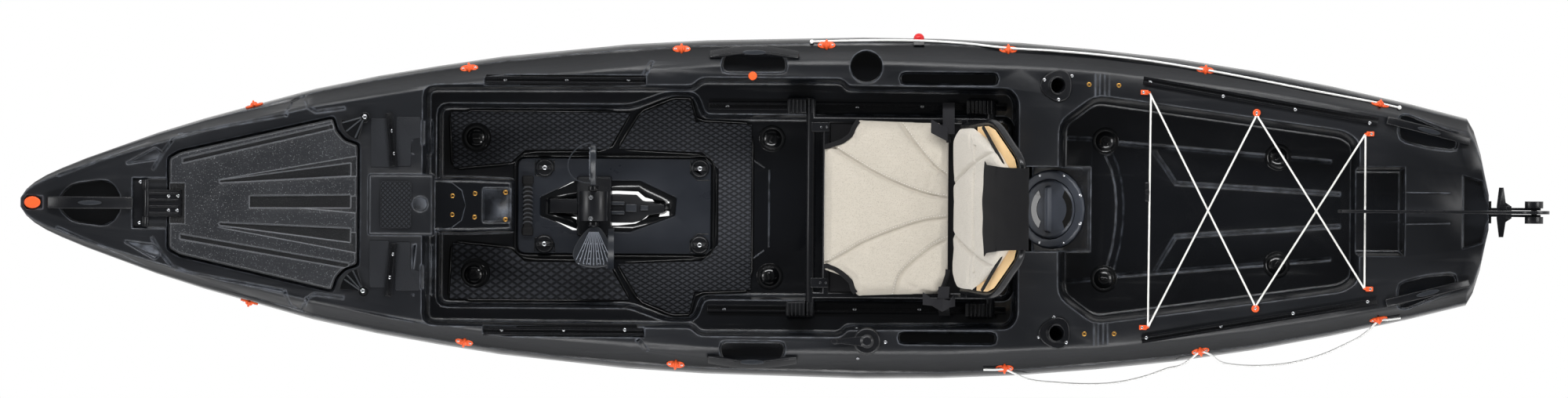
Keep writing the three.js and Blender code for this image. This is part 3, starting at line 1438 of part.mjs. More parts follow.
function steeringLever() {
  const [x, y, z] = steeringPlace;
  const low = z + steeringHeight + gap;
  const thick = leverThickness;
  const hub = turned([
    [0, 0], [leverHub, 0], [leverHub, thick], [leverHub * 0.6, 1.6 * thick], [0, 1.6 * thick],
  ], 20, [x, y, low]);
  const outline = leverShares.map(([along, out]) => [x + along * leverLength, y + out * leverHub]);
  const thumb = cylinder(leverHub * 0.42, 2.4 * thick, [x - leverLength, y, low + 1.2 * thick], 'z', 14);
  return join(hub, prism(outline, low, low + thick), thumb);
}
add('steering_base', steeringBase(), plasticBlack);
add('steering_lever', steeringLever(), plasticBlack);

// Rudder: a bracket on the transom, a steering yoke on an upright pin and a blade that flips aft
const bracketLow = 190;
const bracketHigh = 300;
const bracketHalf = 30;
const bracketPlate = 8;
const yawOffset = 34;
const yawPinRadius = 6;
const lugHeight = 14;
const yokeArm = 67;
const yokeThickness = 12;
const pivotOffset = 118;
const pivotHeight = 398;
const wheelRadius = 25;
const wheelHalf = 30;
const bladeLength = 528;
const bladeChord = 112;
const rudderThickness = 9;
const bladeHead = rudderOverhang - pivotOffset;
const yaw = { x: transomX + yawOffset, z: (bracketLow + bracketHigh) / 2 };
const flip = { x: transomX + pivotOffset, z: pivotHeight };

function rudderBracket() {
  const plate = box(transomX + gap, transomX + bracketPlate, -bracketHalf, bracketHalf, bracketLow,
    bracketHigh);
  const half = 2 * yawPinRadius;
  const lugs = [bracketLow, bracketHigh - lugHeight].map((low) => join(
    box(transomX + bracketPlate / 2, yaw.x, -half, half, low, low + lugHeight),
    cylinder(half, lugHeight, [yaw.x, 0, low + lugHeight / 2], 'z', 18),
  ));
  const pinLength = bracketHigh - bracketLow + lugHeight;
  const pin = cylinder(yawPinRadius, pinLength, [yaw.x, 0, yaw.z + lugHeight / 2], 'z', 16);
  return join(plate, ...lugs, pin);
}
add('rudder_bracket', rudderBracket(), plasticBlack);

const yokeHalf = wheelHalf * 0.55;
const yokeReach = 27;
const cheekPlate = 7;
const cheekBelow = 14;
const cheekAbove = 12;

function yokeArms() {
  const thick = yokeThickness;
  const half = [
    [yaw.x - thick, yokeHalf], [yaw.x - thick / 2, yokeArm], [yaw.x + thick / 2, yokeArm],
    [yaw.x + thick, yokeHalf * 1.6], [yaw.x + yokeReach, yokeHalf],
  ];
  const low = bracketHigh + gap;
  return prism(mirrored(half), low, low + thick);
}

// The post aft of the pin, from the lower barrel up to the cheeks
function yokePost(barrelLow, barrelHigh) {
  const rear = yaw.x + yokeReach;
  const width = 2 * yawPinRadius;
  const barrel = cylinder(width, barrelHigh - barrelLow, [yaw.x, 0, yaw.z], 'z', 18);
  const stem = box(yaw.x + width + runningGap, rear, -yokeHalf, yokeHalf, barrelLow + lugHeight,
    bracketHigh + gap + 2.4 * yokeThickness);
  const link = box(yaw.x, rear, -width, width, barrelLow + lugHeight, barrelHigh - lugHeight);
  return join(barrel, stem, link);
}

function yokeCheek(side) {
  const inner = rudderThickness / 2 + runningGap;
  const reach = wheelRadius * 0.7;
  const low = bracketHigh + gap;
  const profile = [
    [yaw.x + yokeThickness, low], [yaw.x + yokeReach, low], [flip.x + reach, flip.z - cheekBelow],
    [flip.x + reach, flip.z + cheekAbove], [flip.x - reach, flip.z + cheekAbove],
  ];
  const faces = [side * inner, side * (inner + cheekPlate)];
  const plate = stack(faces.map((y) => profile.map(([x, z]) => [x, y, z])), [0, 2]);
  const start = inner + cheekPlate - runningGap;
  const middle = side * (start + wheelHalf) / 2;
  return plate.add(cylinder(wheelRadius, wheelHalf - start, [flip.x, middle, flip.z], 'y', 24));
}

function rudderYoke() {
  const post = yokePost(bracketLow + lugHeight + gap, bracketHigh - lugHeight - gap);
  const socket = cylinder(yawPinRadius + gap, hullBeam, [yaw.x, 0, bracketHigh], 'z', 16);
  const axle = cylinder(pivotRadius, 2 * (wheelHalf - runningGap), [flip.x, 0, flip.z], 'y', 16);
  return cut(join(yokeArms(), post, axle, ...[-1, 1].map(yokeCheek)), socket);
}
add('rudder_yoke', rudderYoke(), plasticBlack);

const bladeOutlineShares = [
  [0.04, 0.22], [0.16, 0.34], [0.34, 0.48], [0.7, 0.5], [0.9, 0.44], [0.98, 0.26], [1, 0], [0.985, -0.24],
  [0.92, -0.4], [0.7, -0.5], [0.34, -0.5], [0.16, -0.4], [0.04, -0.3],
];
const bladeEdgeShares = [[-1, 1], [-0.8, 0], [0.8, 0], [1, 1]];

function rudderBlade() {
  const outline = bladeOutlineShares.map(([along, up]) => (
    [flip.x - along * bladeLength, flip.z + up * bladeChord]));
  const half = rudderThickness / 2;
  const body = stack(bladeEdgeShares.map(([across, drawnIn]) => (
    grown(outline, -drawnIn * half).map(([x, z]) => [x, across * half, z]))), [0, 2]);
  const head = cylinder(bladeHead, rudderThickness, [flip.x, 0, flip.z], 'y', 24);
  const bore = cylinder(pivotRadius + gap, 2 * rudderThickness, [flip.x, 0, flip.z], 'y', 16);
  return cut(join(body, head), bore);
}
add('rudder_blade', rudderBlade(), plasticBlack);

// Tank well bungee, one cord hooked across and laid in two crosses
const bungeeRadius = 2.6;
const bungeePixels = { front: [1465, 150], middle: [1602, 122], rear: [1741, 99] };
const bungeeHump = 12;

function bungee() {
  const { front, middle, rear } = bungeePixels;
  const hook = ([pixel, out], side, inward = 0) => {
    const [x, y] = at([pixel, out]);
    return [x, side * (y - inward), deckAt(x) + bungeeRadius + 2 * gap];
  };
  const between = (a, b, t, lift) => a.map((v, k) => v + t * (b[k] - v) + (k === 2 ? lift : 0));
  const span = (a, b, lift) => [between(a, b, 0.25, 0), between(a, b, 0.5, lift), between(a, b, 0.75, 0)];
  const thick = 3 * bungeeRadius;
  const corners = [
    hook(front, 1), hook(middle, -1), hook(rear, 1), hook(rear, -1), hook(middle, 1), hook(front, -1),
    hook([front[0] + thick / 2, front[1]], 1, thick),
  ];
  const lifts = [0, 0, 0, bungeeHump, bungeeHump, 0];
  const route = corners.flatMap((corner, i) => (
    i + 1 < corners.length ? [corner, ...span(corner, corners[i + 1], lifts[i])] : [corner]));
  return tube(route, bungeeRadius, 8, 40);
}
add('tank_bungee', bungee(), ropeWhite);

// Side ropes: the starboard one lies taut on the shoulder, the port one hangs loose past the gunwale
const ropeRadius = 3;
const ropeLift = 2.4;
const starboardRopePixels = [
  [1036, 212], [1080, 213.5], [1130, 214.5], [1180, 214], [1230, 211], [1285, 205.5], [1340, 202.5],
  [1400, 198], [1460, 191], [1537, 179.5], [1600, 168], [1680, 153], [1760, 138], [1783, 133],
];
const portRopePoints = [
  [538, -434, 289], [567, -434, 289], [595, -433, 289], [618, -442, 278], [643, -454, 262], [673, -463, 221],
  [732, -469, 181], [817, -473, 153], [895, -469, 147], [973, -452, 166], [1036, -429, 204],
  [1074, -418, 258], [1098, -401, 270], [1123, -382, 288], [1150, -389, 275], [1172, -406, 261],
  [1205, -416, 217], [1286, -420, 170], [1370, -412, 154], [1454, -389, 175], [1518, -359, 217],
  [1552, -340, 257], [1577, -321, 265], [1602, -296, 285], [1634, -291, 284], [1662, -287, 282],
];

function onShoulder([pixel, out]) {
  const [x, y] = at([pixel, out]);
  return [x, y, shoulderAt(x, y) + ropeLift * ropeRadius];
}
add('starboard_rope', tube(starboardRopePixels.map(onShoulder), ropeRadius, 8, 26), ropeWhite);
add('port_rope', tube(portRopePoints, ropeRadius, 8, 50), ropeWhite);
export default part;
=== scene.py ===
"""A pedal fishing kayak, seen from straight above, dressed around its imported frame."""

import json
import logging
import math
from collections.abc import Callable
from dataclasses import dataclass
from enum import Enum

import bpy
from mathutils import Matrix, Vector
from mathutils.bvhtree import BVHTree

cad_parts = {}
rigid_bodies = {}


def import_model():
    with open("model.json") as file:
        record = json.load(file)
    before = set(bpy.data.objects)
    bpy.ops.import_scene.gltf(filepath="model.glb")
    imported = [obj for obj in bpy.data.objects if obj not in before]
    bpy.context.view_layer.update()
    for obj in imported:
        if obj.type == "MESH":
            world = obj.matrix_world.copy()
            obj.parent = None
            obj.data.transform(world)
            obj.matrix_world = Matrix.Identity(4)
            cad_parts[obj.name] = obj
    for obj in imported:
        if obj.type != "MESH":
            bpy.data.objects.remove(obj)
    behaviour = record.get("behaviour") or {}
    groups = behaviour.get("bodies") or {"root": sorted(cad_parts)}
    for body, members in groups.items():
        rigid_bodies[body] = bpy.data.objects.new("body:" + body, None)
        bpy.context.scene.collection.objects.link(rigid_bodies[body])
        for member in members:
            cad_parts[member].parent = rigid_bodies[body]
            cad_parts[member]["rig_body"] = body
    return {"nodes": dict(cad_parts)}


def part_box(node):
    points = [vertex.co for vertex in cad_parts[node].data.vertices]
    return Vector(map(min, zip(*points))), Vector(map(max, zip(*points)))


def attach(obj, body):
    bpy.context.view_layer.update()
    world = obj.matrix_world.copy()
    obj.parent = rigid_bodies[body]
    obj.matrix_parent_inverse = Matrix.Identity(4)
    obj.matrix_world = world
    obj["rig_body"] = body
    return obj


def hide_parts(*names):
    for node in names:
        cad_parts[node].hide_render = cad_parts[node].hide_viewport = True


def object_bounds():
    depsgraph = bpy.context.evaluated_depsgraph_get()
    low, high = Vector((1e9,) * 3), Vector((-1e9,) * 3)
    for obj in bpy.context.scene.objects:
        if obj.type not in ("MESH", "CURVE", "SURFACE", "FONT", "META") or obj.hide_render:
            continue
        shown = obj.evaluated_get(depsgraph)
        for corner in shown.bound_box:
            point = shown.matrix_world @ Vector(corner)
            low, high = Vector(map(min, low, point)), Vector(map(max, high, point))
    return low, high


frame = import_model()
PACKED_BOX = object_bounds()
Piece = bpy.types.Object
Socket = bpy.types.NodeSocket
Value = Socket | float | tuple
LOG = logging.getLogger("kayak")
UP = Vector((0.0, 0.0, 1.0))


class Side(Enum):
    """The two sides of the boat; the value is the sign of y."""

    STARBOARD = 1
    PORT = -1

    @property
    def word(self) -> str:
        """The side's name as it stands in the names of nodes and pieces."""
        return self.name.lower()


@dataclass(frozen=True)
class PhotoScale:
    """Turns a place in the photograph into a place on the boat.

    The boat lies at a small angle in the picture, so its middle line rises along it.
    """

    bow_pixel: float = 28.0
    transom_pixel: float = 1899.0
    half_beam_pixels: float = 218.0
    middle_pixel: float = 258.0
    middle_drop: float = 13.0

    def along(self, pixel: float) -> float:
        """Metres along the boat for a pixel column."""
        low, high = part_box("hull")
        return low.x + (pixel - self.bow_pixel) * (high.x - low.x) / (self.transom_pixel - self.bow_pixel)

    def spot(self, column: float, row: float) -> tuple[float, float]:
        """The place on the boat under a pixel.

        Args:
            column: pixels from the picture's left edge.
            row: pixels from its top edge.
        Returns:
            x and y in metres.
        """
        length = self.transom_pixel - self.bow_pixel
        middle = self.middle_pixel + (column - self.bow_pixel) * self.middle_drop / length
        return self.along(column), (middle - row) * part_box("hull")[1].y / self.half_beam_pixels

    def out(self, column: float, off: float) -> tuple[float, float]:
        """The place that many pixels out from the middle line, to starboard."""
        return self.along(column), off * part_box("hull")[1].y / self.half_beam_pixels


class Ground:
    """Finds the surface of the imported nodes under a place, so that pieces sit on what carries them."""

    def __init__(self) -> None:
        """Starts with no trees; each is made when it is first asked for."""
        self.trees: dict[str, BVHTree] = {}

    def tree(self, node: str) -> BVHTree:
        """The search tree of one node."""
        if node not in self.trees:
            self.trees[node] = tree_of(frame["nodes"][node].data)
        return self.trees[node]

    def hit(self, x: float, y: float, *nodes: str) -> tuple[Vector, Vector]:
        """The topmost surface at a place.

        Args:
            x: metres along the boat.
            y: metres out to starboard.
            nodes: the nodes that count; the hull alone when none is named.
        Returns:
            the point and the surface's direction there.
        """
        best = (Vector((x, y, 0.0)), UP.copy())
        for node in nodes or ("hull",):
            place, normal, _, _ = self.tree(node).ray_cast(Vector((x, y, 2.0)), -UP)
            if place is not None and place.z > best[0].z:
                best = (place, normal if normal.z > 0 else -normal)
        return best

    def seat(self, x: float, y: float, *nodes: str, upright: bool = False, turn: float = 0.0) -> Matrix:
        """A matrix that stands a piece on the surface at a place.

        Args:
            x: metres along the boat.
            y: metres out to starboard.
            nodes: the nodes that count.
            upright: keeps the piece's own axis straight up.
            turn: radians about the piece's own axis.
        Returns:
            the matrix for a piece modelled on the origin, its base at z = 0.
        """
        place, normal = self.hit(x, y, *nodes)
        return standing(place, UP if upright else normal, turn)


class Bench:
    """The modelling moves that all the pieces share, made with Blender's own operators."""

    @staticmethod
    def clear() -> None:
        """Leaves edit mode and lets go of everything."""
        if bpy.context.object and bpy.context.object.mode != "OBJECT":
            bpy.ops.object.mode_set(mode="OBJECT")
        bpy.ops.object.select_all(action="DESELECT")

    @classmethod
    def hold(cls, *pieces: Piece) -> Piece:
        """Selects these pieces alone and makes the first one active.

        Args:
            pieces: the pieces.
        Returns:
            the first one.
        """
        cls.clear()
        for piece in pieces:
            piece.select_set(True)
        bpy.context.view_layer.objects.active = pieces[0]
        return pieces[0]

    @staticmethod
    def named(name: str) -> Piece:
        """Names the piece that an operator has just added."""
        piece = bpy.context.object
        piece.name = piece.data.name = name
        return piece

    @classmethod
    def settle(cls, piece: Piece, matrix: Matrix = Matrix()) -> Piece:
        """Puts a piece in its place and leaves its object at the origin, unturned.

        Args:
            piece: the piece.
            matrix: its place.
        Returns:
            the piece.
        """
        piece.data.transform(matrix @ piece.matrix_world)
        piece.matrix_world = Matrix()
        return piece

    @classmethod
    def edit(cls, piece: Piece, mode: str = "FACE") -> None:
        """Opens a piece for editing with all of it selected.

        Args:
            piece: the piece.
            mode: what is selected.
        """
        cls.hold(piece)
        bpy.ops.object.mode_set(mode="EDIT")
        bpy.ops.mesh.select_mode(type=mode)
        bpy.ops.mesh.select_all(action="SELECT")

    @classmethod
    def pick(cls, piece: Piece, test: Callable) -> None:
        """Selects in edit mode the faces whose middle and direction pass a test.

        Args:
            piece: the piece that is open for editing.
            test: takes a face's middle and direction and says whether it is wanted.
        """
        bpy.ops.mesh.select_all(action="DESELECT")
        bpy.ops.object.mode_set(mode="OBJECT")
        for face in piece.data.polygons:
            face.select = bool(test(face.center, face.normal))
        bpy.ops.object.mode_set(mode="EDIT")
        bpy.ops.mesh.select_mode(type="FACE")

    @classmethod
    def close(cls, piece: Piece, turn_out: bool = True) -> Piece:
        """Merges doubles, turns the faces outwards and leaves edit mode.

        Args:
            piece: the piece that is open for editing.
            turn_out: whether the faces are turned.
        Returns:
            the piece.
        """
        bpy.ops.mesh.select_all(action="SELECT")
        bpy.ops.mesh.remove_doubles(threshold=1e-6)
        if turn_out:
            bpy.ops.mesh.normals_make_consistent(inside=False)
        bpy.ops.object.mode_set(mode="OBJECT")
        return piece

    @classmethod
    def modify(cls, piece: Piece, kind: str, **settings) -> None:
        """Adds a modifier of a kind with its settings, and applies it.

        Args:
            piece: the piece.
            kind: the modifier's type.
            settings: its properties.
        """
        cls.hold(piece)
        change = piece.modifiers.new(kind.lower(), kind)
        for key, value in settings.items():
            setattr(change, key, value)
        bpy.ops.object.modifier_apply(modifier=change.name)

    @classmethod
    def smooth(cls, piece: Piece, sharp: float) -> Piece:
        """Shades a piece smooth, except over edges sharper than an angle."""
        cls.hold(piece)
        bpy.ops.object.shade_smooth_by_angle(angle=sharp)
        return piece

    @classmethod
    def soften(cls, piece: Piece, width: float, steps: int = 2, sharp: float = 0.6) -> None:
        """Rounds a piece's sharp edges and shades it smooth.

        Args:
            piece: the piece.
            width: the rounding; none at zero.
            steps: faces across it.
            sharp: the angle past which an edge is rounded.
        """
        if width > 0:
            cls.modify(piece, "BEVEL", width=width, segments=steps, limit_method="ANGLE", angle_limit=sharp,
                       harden_normals=False)
        cls.smooth(piece, sharp)

    @classmethod
    def block(cls, name: str, size: tuple, round_by: float, steps: int = 2) -> Piece:
        """A box with rounded edges, standing on the origin.

        Args:
            name: the piece's name.
            size: length, width and height.
            round_by: the edge rounding.
            steps: faces across each rounding.
        Returns:
            the piece.
        """
        cls.clear()
        bpy.ops.mesh.primitive_cube_add(size=1)
        piece = cls.named(name)
        for corner in piece.data.vertices:
            corner.co = Vector([c * s for c, s in zip(corner.co, size)]) + UP * size[2] / 2
        cls.edit(piece, "EDGE")
        bpy.ops.mesh.bevel(offset=round_by, segments=steps, affect="EDGES")
        return cls.close(piece)

    @classmethod
    def disc(cls, name: str, radius: float, height: float, round_by: float, sides: int = 32,
             foot: float = 0.0) -> Piece:
        """A round boss with a rounded rim, standing on the origin and reaching foot below it.

        Args:
            name: the piece's name.
            radius: its radius.
            height: its height.
            round_by: the rim's rounding.
            sides: faces round it.
            foot: how far it reaches below the origin.
        Returns:
            the piece.
        """
        cls.clear()
        bpy.ops.mesh.primitive_cylinder_add(vertices=sides, radius=radius, depth=height + foot)
        piece = cls.named(name)
        piece.data.transform(shift((0, 0, (height - foot) / 2)))
        cls.edit(piece)
        cls.pick(piece, lambda middle, normal: normal.z > 0.9)
        bpy.ops.mesh.inset(thickness=round_by)
        cls.close(piece)
        for corner in piece.data.vertices:
            rim = math.hypot(corner.co.x, corner.co.y) > radius - round_by / 2
            if corner.co.z > height - 1e-6 and rim:
                corner.co.z -= round_by * 0.6
        return piece

    @classmethod
    def lathe(cls, name: str, profile: list, steps: int = 32) -> Piece:
        """A turned piece about the z axis.

        Args:
            name: the piece's name.
            profile: radius and height of each point, from the foot to the top.
            steps: faces round it.
        Returns:
            the piece.
        """
        cls.clear()
        bpy.ops.mesh.primitive_circle_add(vertices=len(profile), radius=1)
        piece = cls.named(name)
        for corner, (radius, height) in zip(piece.data.vertices, profile):
            corner.co = (radius, 0, height)
        cls.edit(piece, "EDGE")
        bpy.ops.mesh.spin(steps=steps, angle=2 * math.pi, center=(0, 0, 0), axis=(0, 0, 1))
        bpy.ops.mesh.select_all(action="SELECT")
        bpy.ops.mesh.remove_doubles(threshold=1e-5)
        bpy.ops.mesh.dissolve_degenerate(threshold=1e-5)
        return cls.smooth(cls.close(piece), 0.7)

    @classmethod
    def plate(cls, name: str, outline: list, thick: float, round_by: float = 0.0) -> Piece:
        """A plate whose corners are given points, thickened straight up.

        Args:
            name: the piece's name.
            outline: its corners in order, each at the height of its underside.
            thick: its thickness.
            round_by: the rounding of its upper edge.
        Returns:
            the piece.
        """
        cls.clear()
        bpy.ops.mesh.primitive_circle_add(vertices=len(outline), radius=1, fill_type="NGON")
        piece = cls.named(name)
        for corner, place in zip(piece.data.vertices, outline):
            corner.co = place
        cls.edit(piece)
        bpy.ops.mesh.extrude_region_move(TRANSFORM_OT_translate={"value": (0, 0, thick)})
        cls.close(piece)
        cls.soften(piece, round_by, 2, 0.5)
        return piece

    @classmethod
    def strand(cls, name: str, points: list, radius: float, closed: bool = False,
               sides: int = 3) -> Piece:
        """A round cord or rod as a curve of one spline through given points.

        Args:
            name: the piece's name.
            points: its middle line.
            radius: its radius.
            closed: joins its ends.
            sides: how finely it is rounded.
        Returns:
            the curve.
        """
        cls.clear()
        bpy.ops.curve.primitive_nurbs_path_add()
        piece = cls.named(name)
        piece.matrix_world = Matrix()
        curve = piece.data
        curve.splines.clear()
        spline = curve.splines.new("POLY")
        spline.points.add(len(points) - 1)
        for point, place in zip(spline.points, points):
            point.co = (*place, 1.0)
        spline.use_cyclic_u, spline.use_smooth = closed, True
        curve.dimensions, curve.bevel_depth, curve.bevel_resolution = "3D", radius, sides
        curve.use_fill_caps = True
        return piece

    @classmethod
    def rod(cls, name: str, points: list, radius: float, closed: bool = False,
            sides: int = 3) -> Piece:
        """The same as a strand, made a mesh.

        Args:
            name, points, radius, closed, sides: as for a strand.
        Returns:
            the rod.
        """
        piece = cls.hold(cls.strand(name, points, radius, closed, sides))
        bpy.ops.object.convert(target="MESH")
        piece = bpy.context.object
        cls.edit(piece)
        return cls.smooth(cls.close(piece), 0.9)

    @classmethod
    def grid(cls, name: str, rows: int, across: int, place: Callable) -> Piece:
        """An open sheet of faces in rows.

        Args:
            name: the piece's name.
            rows: faces along it.
            across: faces across it.
            place: takes a row's number and a share from -1 to 1 across, and gives the corner there.
        Returns:
            the piece.
        """
        cls.clear()
        bpy.ops.mesh.primitive_grid_add(x_subdivisions=rows, y_subdivisions=across, size=2)
        piece = cls.named(name)
        order = sorted(piece.data.vertices, key=lambda v: (round(v.co.x, 4), v.co.y))
        for k, corner in enumerate(order):
            row, column = divmod(k, across + 1)
            corner.co = place(row, 2.0 * column / across - 1.0)
        return piece

    @classmethod
    def ribbon(cls, name: str, points: list, widths: list, thick: float) -> Piece:
        """A flat strap along a path.

        Args:
            name: the piece's name.
            points: the middle line's points.
            widths: for each point, the vector from the middle to one edge.
            thick: its thickness.
        Returns:
            the strap.
        """
        piece = cls.grid(name, len(points) - 1, 4, lambda row, share: points[row] + widths[row] * share)
        cls.modify(piece, "SOLIDIFY", thickness=thick, offset=0.0)
        cls.edit(piece)
        return cls.smooth(cls.close(piece), 0.8)

    @classmethod
    def trough(cls, name: str, outline: list, depth: float, flare: float = 0.0) -> Piece:
        """A cutter for a shallow recess whose sides lean outwards.

        Args:
            name: the cutter's name.
            outline: the recess's corners, each on the surface.
            depth: how deep the recess is.
            flare: how far its sides lean out on the way up.
        Returns:
            the cutter.
        """
        above = 0.012
        cutter = cls.plate(name, [Vector(p) - UP * depth for p in outline], depth + above)
        turn = sum(a[0] * b[1] - b[0] * a[1] for a, b in zip(outline, [*outline[1:], outline[0]]))
        for corner in cutter.data.vertices:
            k = min(range(len(outline)), key=lambda i: math.hypot(corner.co.x - outline[i][0],
                                                                  corner.co.y - outline[i][1]))
            if corner.co.z > outline[k][2]:
                ahead, behind = Vector(outline[(k + 1) % len(outline)]), Vector(outline[k - 1])
                along = (ahead - behind).normalized() * math.copysign(1, turn)
                corner.co += Vector((along.y, -along.x, 0)) * flare * (depth + above) / depth
        return cutter

    @classmethod
    def carve(cls, piece: Piece, cutters: list) -> None:
        """Cuts other pieces out of a piece and uses them up.

        Args:
            piece: the piece.
            cutters: what is cut out of it.
        """
        tool = cls.joined("cutters", *cutters)
        cls.modify(piece, "BOOLEAN", operation="DIFFERENCE", solver="EXACT", object=tool, use_self=True)
        bpy.data.objects.remove(tool)

    @classmethod
    def twin(cls, source: Piece, name: str) -> Piece:
        """A copy of an object with its own mesh, free and at the origin.

        Args:
            source: the object.
            name: the copy's name.
        Returns:
            the copy.
        """
        twin = source.copy()
        twin.data = source.data.copy()
        twin.name = twin.data.name = name
        twin.parent, twin.matrix_world = None, Matrix()
        bpy.context.collection.objects.link(twin)
        return twin

    @classmethod
    def joined(cls, name: str, *pieces: Piece) -> Piece:
        """Several finished meshes as one piece.

        Args:
            name: its name.
            pieces: the meshes.
        Returns:
            the piece.
        """
        whole = cls.hold(*pieces)
        if len(pieces) > 1:
            bpy.ops.object.join()
        whole.name = whole.data.name = name
        return whole

    @classmethod
    def copies(cls, template: Piece, name: str, places: list) -> list:
        """Copies of a finished piece, each with its own mesh, which use the template up.

        Args:
            template: the piece, modelled about the origin.
            name: the copies' common name; each gets a number.
            places: a matrix for each copy.
        Returns:
            the copies.
        """
        made = [cls.twin(template, f"{name}_{k + 1}") for k in range(len(places))]
        for copy, place in zip(made, places):
            copy.data.transform(place)
        bpy.data.objects.remove(template)
        return made


def paint(red: int, green: int, blue: int) -> tuple:
    """A colour as a screen shows it, in the linear numbers that a shader takes.

    Args:
        red, green, blue: each from 0 to 255.
    Returns:
        the colour, not see-through.
    """
    shares = [value / 255.0 for value in (red, green, blue)]
    linear = [share / 12.92 if share <= 0.04045 else ((share + 0.055) / 1.055) ** 2.4 for share in shares]
    return *linear, 1.0


def shift(to: tuple) -> Matrix:
    """A matrix that only moves a piece."""
    return Matrix.Translation(to)


def standing(place: Vector, normal: Vector, turn: float = 0.0) -> Matrix:
    """A matrix that turns a piece about its own axis and stands it on a place along a direction."""
    return shift(place) @ UP.rotation_difference(normal).to_matrix().to_4x4() @ Matrix.Rotation(turn, 4, "Z")


def tree_of(mesh: bpy.types.Mesh) -> BVHTree:
    """The search tree of a mesh's faces."""
    return BVHTree.FromPolygons([v.co for v in mesh.vertices], [p.vertices[:] for p in mesh.polygons])


def shade(colour: tuple, times: float, plus: float = 0.0) -> tuple:
    """A lighter or darker shade of a colour."""
    return tuple(min(1.0, part * times + plus) for part in colour[:3]) + (1.0,)


